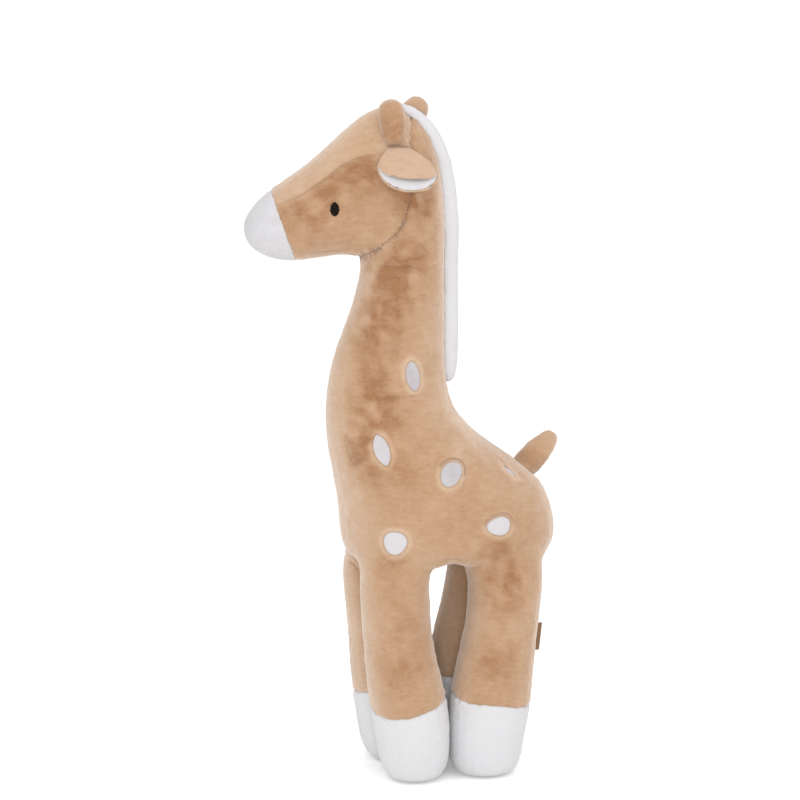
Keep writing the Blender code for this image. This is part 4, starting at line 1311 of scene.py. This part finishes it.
# %% Shape an ear layer
EAR_LENGTH = 40.4 * MM
EAR_WIDTH = 40.6 * MM
EAR_CORNER_SHARE = 0.50
EAR_ROOT_SHARE = 0.33
EAR_LIP_SHARE = 0.81
EAR_SWEEP = 8.5 * MM
EAR_CURL = 3.2 * MM
EAR_UNEVEN = 0.12 * MM
EAR_UNEVEN_SIZE = 7 * MM
EAR_WIDENING = 1.2
EAR_EDGE_SHARE = 0.45
EAR_ROOT_SHADE = 0.9
EAR_ROOT_SHADE_WIDTH = 2.2 * MM
EAR_SHADE = -0.45
EAR_LINING_SHADE = 0.35
EAR_ROWS = 26
EAR_COLUMNS = 30


def rounded_leaf(name, sheet, thickness):
    """A sheet given its thickness and a rounded edge."""
    solid = shaped(name, mesh_from(sheet, name),
                   ("SOLIDIFY", {"thickness": thickness, "offset": -1.0}),
                   ("BEVEL", {"width": EAR_EDGE_SHARE * thickness, "segments": 3,
                              "angle_limit": radians(60)}))
    form = form_of(solid)
    bmesh.ops.recalc_face_normals(form, faces=form.faces)
    return mesh_from(form, name)


def ear_layer(name, side_name, reach_share, grow, lift, bulge, thickness, skew):
    """One leaf: as long as its share of the ear, lifted off the middle layer and bulged."""
    root, _, along, back, above = ear_frame(side_name)
    sheet = bmesh.new()
    made = bmesh.ops.create_grid(sheet, x_segments=EAR_ROWS, y_segments=EAR_COLUMNS, size=1)
    corner = EAR_CORNER_SHARE * EAR_LENGTH
    for vert in made["verts"]:
        row = (vert.co.x + 1) / 2
        across = sin(vert.co.y * pi / 2)
        end = corner + (reach_share * EAR_LENGTH - corner + grow) * sqrt(max(0, 1 - across ** 2))
        down = row * (end + skew * across * EAR_LENGTH)
        widen = min(1, down / corner)
        half = EAR_WIDTH / 2 + grow
        half *= EAR_ROOT_SHARE + (1 - EAR_ROOT_SHARE) * sin(widen * pi / 2) ** EAR_WIDENING
        aside = across * half + EAR_SWEEP * sin(min(1, down / EAR_LENGTH) * pi / 2)
        rise = lift * sin(widen * pi / 2) + bulge * sin(row * pi / 2) * (1 - across ** 2)
        rise -= EAR_CURL * across ** 2 * widen
        vert.co = root + along * down + back * aside + above * rise
    sheet.normal_update()
    if sum((face.normal for face in sheet.faces), Vector()).dot(above) < 0:
        bmesh.ops.reverse_faces(sheet, faces=sheet.faces)
    solid = rounded_leaf(name, sheet, thickness)
    places = points_of(solid)
    uneven = EAR_UNEVEN * soft_noise(places, EAR_UNEVEN_SIZE, 51)
    set_points(solid, places + uneven[:, None] * normals_of(solid))
    shade = EAR_LINING_SHADE if "lining" in name else EAR_SHADE
    set_field(solid, "nap_and_painted_light", np.full(len(places), shade))
    from_root = (places - np.array(root)) @ np.array(along)
    # Shade painted at the ear's gathered root
    set_field(solid, "painted_shade", EAR_ROOT_SHADE * bell(from_root, EAR_ROOT_SHADE_WIDTH))
    return solid


# %% Sew the ears
# Each layer's name, its shape as ear_layer takes it, its fabric and the solid that it stands for
EAR_LAYERS = (
    ("ear_lip", (EAR_LIP_SHARE, -0.35 * MM, 1.5 * MM, 1.4 * MM, 1.6 * MM, 0.04), tan_plush,
     "ear_back"),
    ("ear_lining_leaf", (1.0, 0.0, 0.0, -0.6 * MM, 1.6 * MM, 0.0), white_plush, "ear_lining"),
    ("ear_under", (1.0, 0.9 * MM, -0.7 * MM, -0.6 * MM, 1.3 * MM, 0.0), tan_plush, None),
)
for side_name in ("left", "right"):
    root, _, along, _, _ = ear_frame(side_name)
    for layer, shape, material, node in EAR_LAYERS:
        name = f"{side_name}_{layer}"
        nodes = [f"{side_name}_{node}"] if node else []
        piece = finish_piece(name, ear_layer(name, side_name, *shape), material, nodes,
                             body=None)
        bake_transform(piece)

# %% [markdown]
# ## Eyes
#
# The eyes are embroidered: satin stitches laid side by side across a small padded oval. Each
# stitch is a short rounded bar that bows over the padding.

# %% Embroider the eyes
EYE_STITCHES = 15
STITCH_SIDES = 8
STITCH_STEPS = 6
STITCH_END_SHARE = 0.45
EYE_THREAD = 0.42 * MM
EYE_CROWN = 0.7 * MM
EYE_STAND = 0.25 * MM
EYE_RAGGED = (0.88, 1.08)
EYE_CLEAR = 8 * MM


def bar(form, line, radius):
    """A round thread along a line of points, closed at both ends."""
    rings = []
    for index, point in enumerate(line):
        before = line[max(index - 1, 0)]
        after = line[min(index + 1, len(line) - 1)]
        run = (after - before).normalized()
        taper = STITCH_END_SHARE if index in (0, len(line) - 1) else 1.0
        made = bmesh.ops.create_circle(form, segments=STITCH_SIDES, radius=radius * taper)["verts"]
        turn = Vector((0, 0, 1)).rotation_difference(run).to_matrix().to_4x4()
        bmesh.ops.transform(form, verts=made, matrix=Matrix.Translation(point) @ turn)
        rings.append(made)
    for lower_ring, upper_ring in zip(rings, rings[1:]):
        edges = {edge for vert in lower_ring + upper_ring for edge in vert.link_edges
                 if edge.other_vert(vert) in lower_ring or edge.other_vert(vert) in upper_ring}
        loops = [edge for edge in edges
                 if (edge.verts[0] in lower_ring) == (edge.verts[1] in lower_ring)]
        bmesh.ops.bridge_loops(form, edges=loops)
    for ring in (rings[0], rings[-1]):
        bmesh.ops.contextual_create(form, geom=ring)


def threads(name, lines, radius, material, nodes):
    """One piece of many threads, each along a line of points."""
    form = bmesh.new()
    for line in lines:
        bar(form, line, radius)
    bmesh.ops.recalc_face_normals(form, faces=form.faces)
    return finish_piece(name, mesh_from(form, name), material, nodes)


skin_tree = tree_of(skin)
for side_name in ("left", "right"):
    middle, upward, backward, facing, half_tall, half_wide = oval_of(side_name + "_eye")
    up, aside, out = Vector(upward), Vector(backward), Vector(facing)
    random = np.random.default_rng(61)
    lines = []
    for stitch in range(EYE_STITCHES):
        share = (stitch + 0.5) / EYE_STITCHES * 2 - 1
        half = half_wide * sqrt(1 - share ** 2) * random.uniform(*EYE_RAGGED)
        line = []
        for step in range(STITCH_STEPS + 1):
            bow = step / STITCH_STEPS * 2 - 1
            above_skin = Vector(middle) + up * share * half_tall + aside * bow * half + out * EYE_CLEAR
            hit = skin_tree.ray_cast(above_skin, -out)[0]
            crown = EYE_CROWN * (1 - share ** 2) * sqrt(max(0, 1 - bow ** 2))
            line.append(hit + out * (crown + EYE_STAND))
        lines.append(line)
    threads(side_name + "_eye_stitches", lines, EYE_THREAD, black_thread, [side_name + "_eye"])

# %% [markdown]
# ## The side label
#
# A woven ribbon folded double and caught in the leg's back seam. It is bare.

# %% Fold the label
RIBBON = 0.55 * MM
FOLD_RADIUS = 0.45 * MM
FOLD_STEPS = 8
LABEL_SEWN_IN = 2 * MM
LABEL_LEAN = 0.11
LABEL_ROWS = 12

label_low, label_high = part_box("side_label")
middle_x = (label_low.x + label_high.x) / 2
fold_y = label_high.y - FOLD_RADIUS
sewn_y = label_low.y - LABEL_SEWN_IN
angles = [-pi / 2 + step * pi / FOLD_STEPS for step in range(FOLD_STEPS + 1)]
path = [(middle_x - FOLD_RADIUS, sewn_y)]
path += [(middle_x + FOLD_RADIUS * sin(angle), fold_y + FOLD_RADIUS * cos(angle)) for angle in angles]
path += [(middle_x + FOLD_RADIUS, sewn_y)]
label_form = bmesh.new()
path_verts = [bmesh.ops.create_vert(label_form, co=(x, y, label_low.z))["vert"][0] for x, y in path]
for pair_of_verts in zip(path_verts, path_verts[1:]):
    bmesh.ops.contextual_create(label_form, geom=pair_of_verts)
row_edges = label_form.edges[:]
row_up = Vector((0, 0, (label_high.z - label_low.z) / LABEL_ROWS))
for _ in range(LABEL_ROWS):
    made = bmesh.ops.extrude_edge_only(label_form, edges=row_edges)["geom"]
    fresh = [item for item in made if isinstance(item, bmesh.types.BMVert)]
    bmesh.ops.translate(label_form, verts=fresh, vec=row_up)
    row_edges = [item for item in made if isinstance(item, bmesh.types.BMEdge)
                 and abs(item.verts[0].co.z - item.verts[1].co.z) < SAME_PLACE]
bmesh.ops.recalc_face_normals(label_form, faces=label_form.faces)
label_mesh = shaped("label", mesh_from(label_form, "label"),
                    ("SOLIDIFY", {"thickness": RIBBON, "offset": 0.0}))
label_points = points_of(label_mesh)
label_points[:, 1] -= LABEL_LEAN * (label_high.z - label_points[:, 2])
set_points(label_mesh, label_points)
finish_piece("side_label_ribbon", label_mesh, brown_ribbon, ["side_label"])

# %% [markdown]
# ## Closing stitches
#
# The head is closed on to the neck by hand, with small dark stitches that show along the jaw.

# %% Sew the stitches
JAW_STITCH_PIXELS = ((410, 198), (408.5, 206), (407, 212), (404, 219), (401, 225), (398, 231),
                     (394, 235.5), (387, 240), (381, 247), (375, 251), (368, 254))
# Where along its share of the seam a stitch has a point, and how far that stands off the skin
STITCH_POINTS = ((0.22, 0.05 * MM), (0.5, 0.30 * MM), (0.78, 0.05 * MM))
JAW_THREAD = 0.17 * MM

ends = np.array(JAW_STITCH_PIXELS)
marks = np.empty((2 * len(ends) - 1, 2))
marks[::2] = ends
marks[1::2] = (ends[:-1] + ends[1:]) / 2
jaw_lines = []
for first, second in zip(marks, marks[1:]):
    line = []
    for share, stand in STITCH_POINTS:
        sight = line_of_sight(first + share * (second - first))
        hit, normal, _, _ = skin_tree.ray_cast(camera_place, sight)
        if hit is not None:
            line.append(hit + normal * stand)
    if len(line) == len(STITCH_POINTS):
        jaw_lines.append(line)
jaw_lines += [[mirrored(point) for point in line] for line in jaw_lines]
threads("jaw_stitches", jaw_lines, JAW_THREAD, seam_thread, [])

# %% [markdown]
# ## The size of the dressed toy
#
# Fabric may stand a little proud of the solids, and no more. Both boxes are printed.

# %% Print the boxes
VISUAL_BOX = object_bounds()
for label_text, box in (("cad", CAD_BOX), ("visual", VISUAL_BOX)):
    print(label_text, [[round(value, 4) for value in corner] for corner in box])
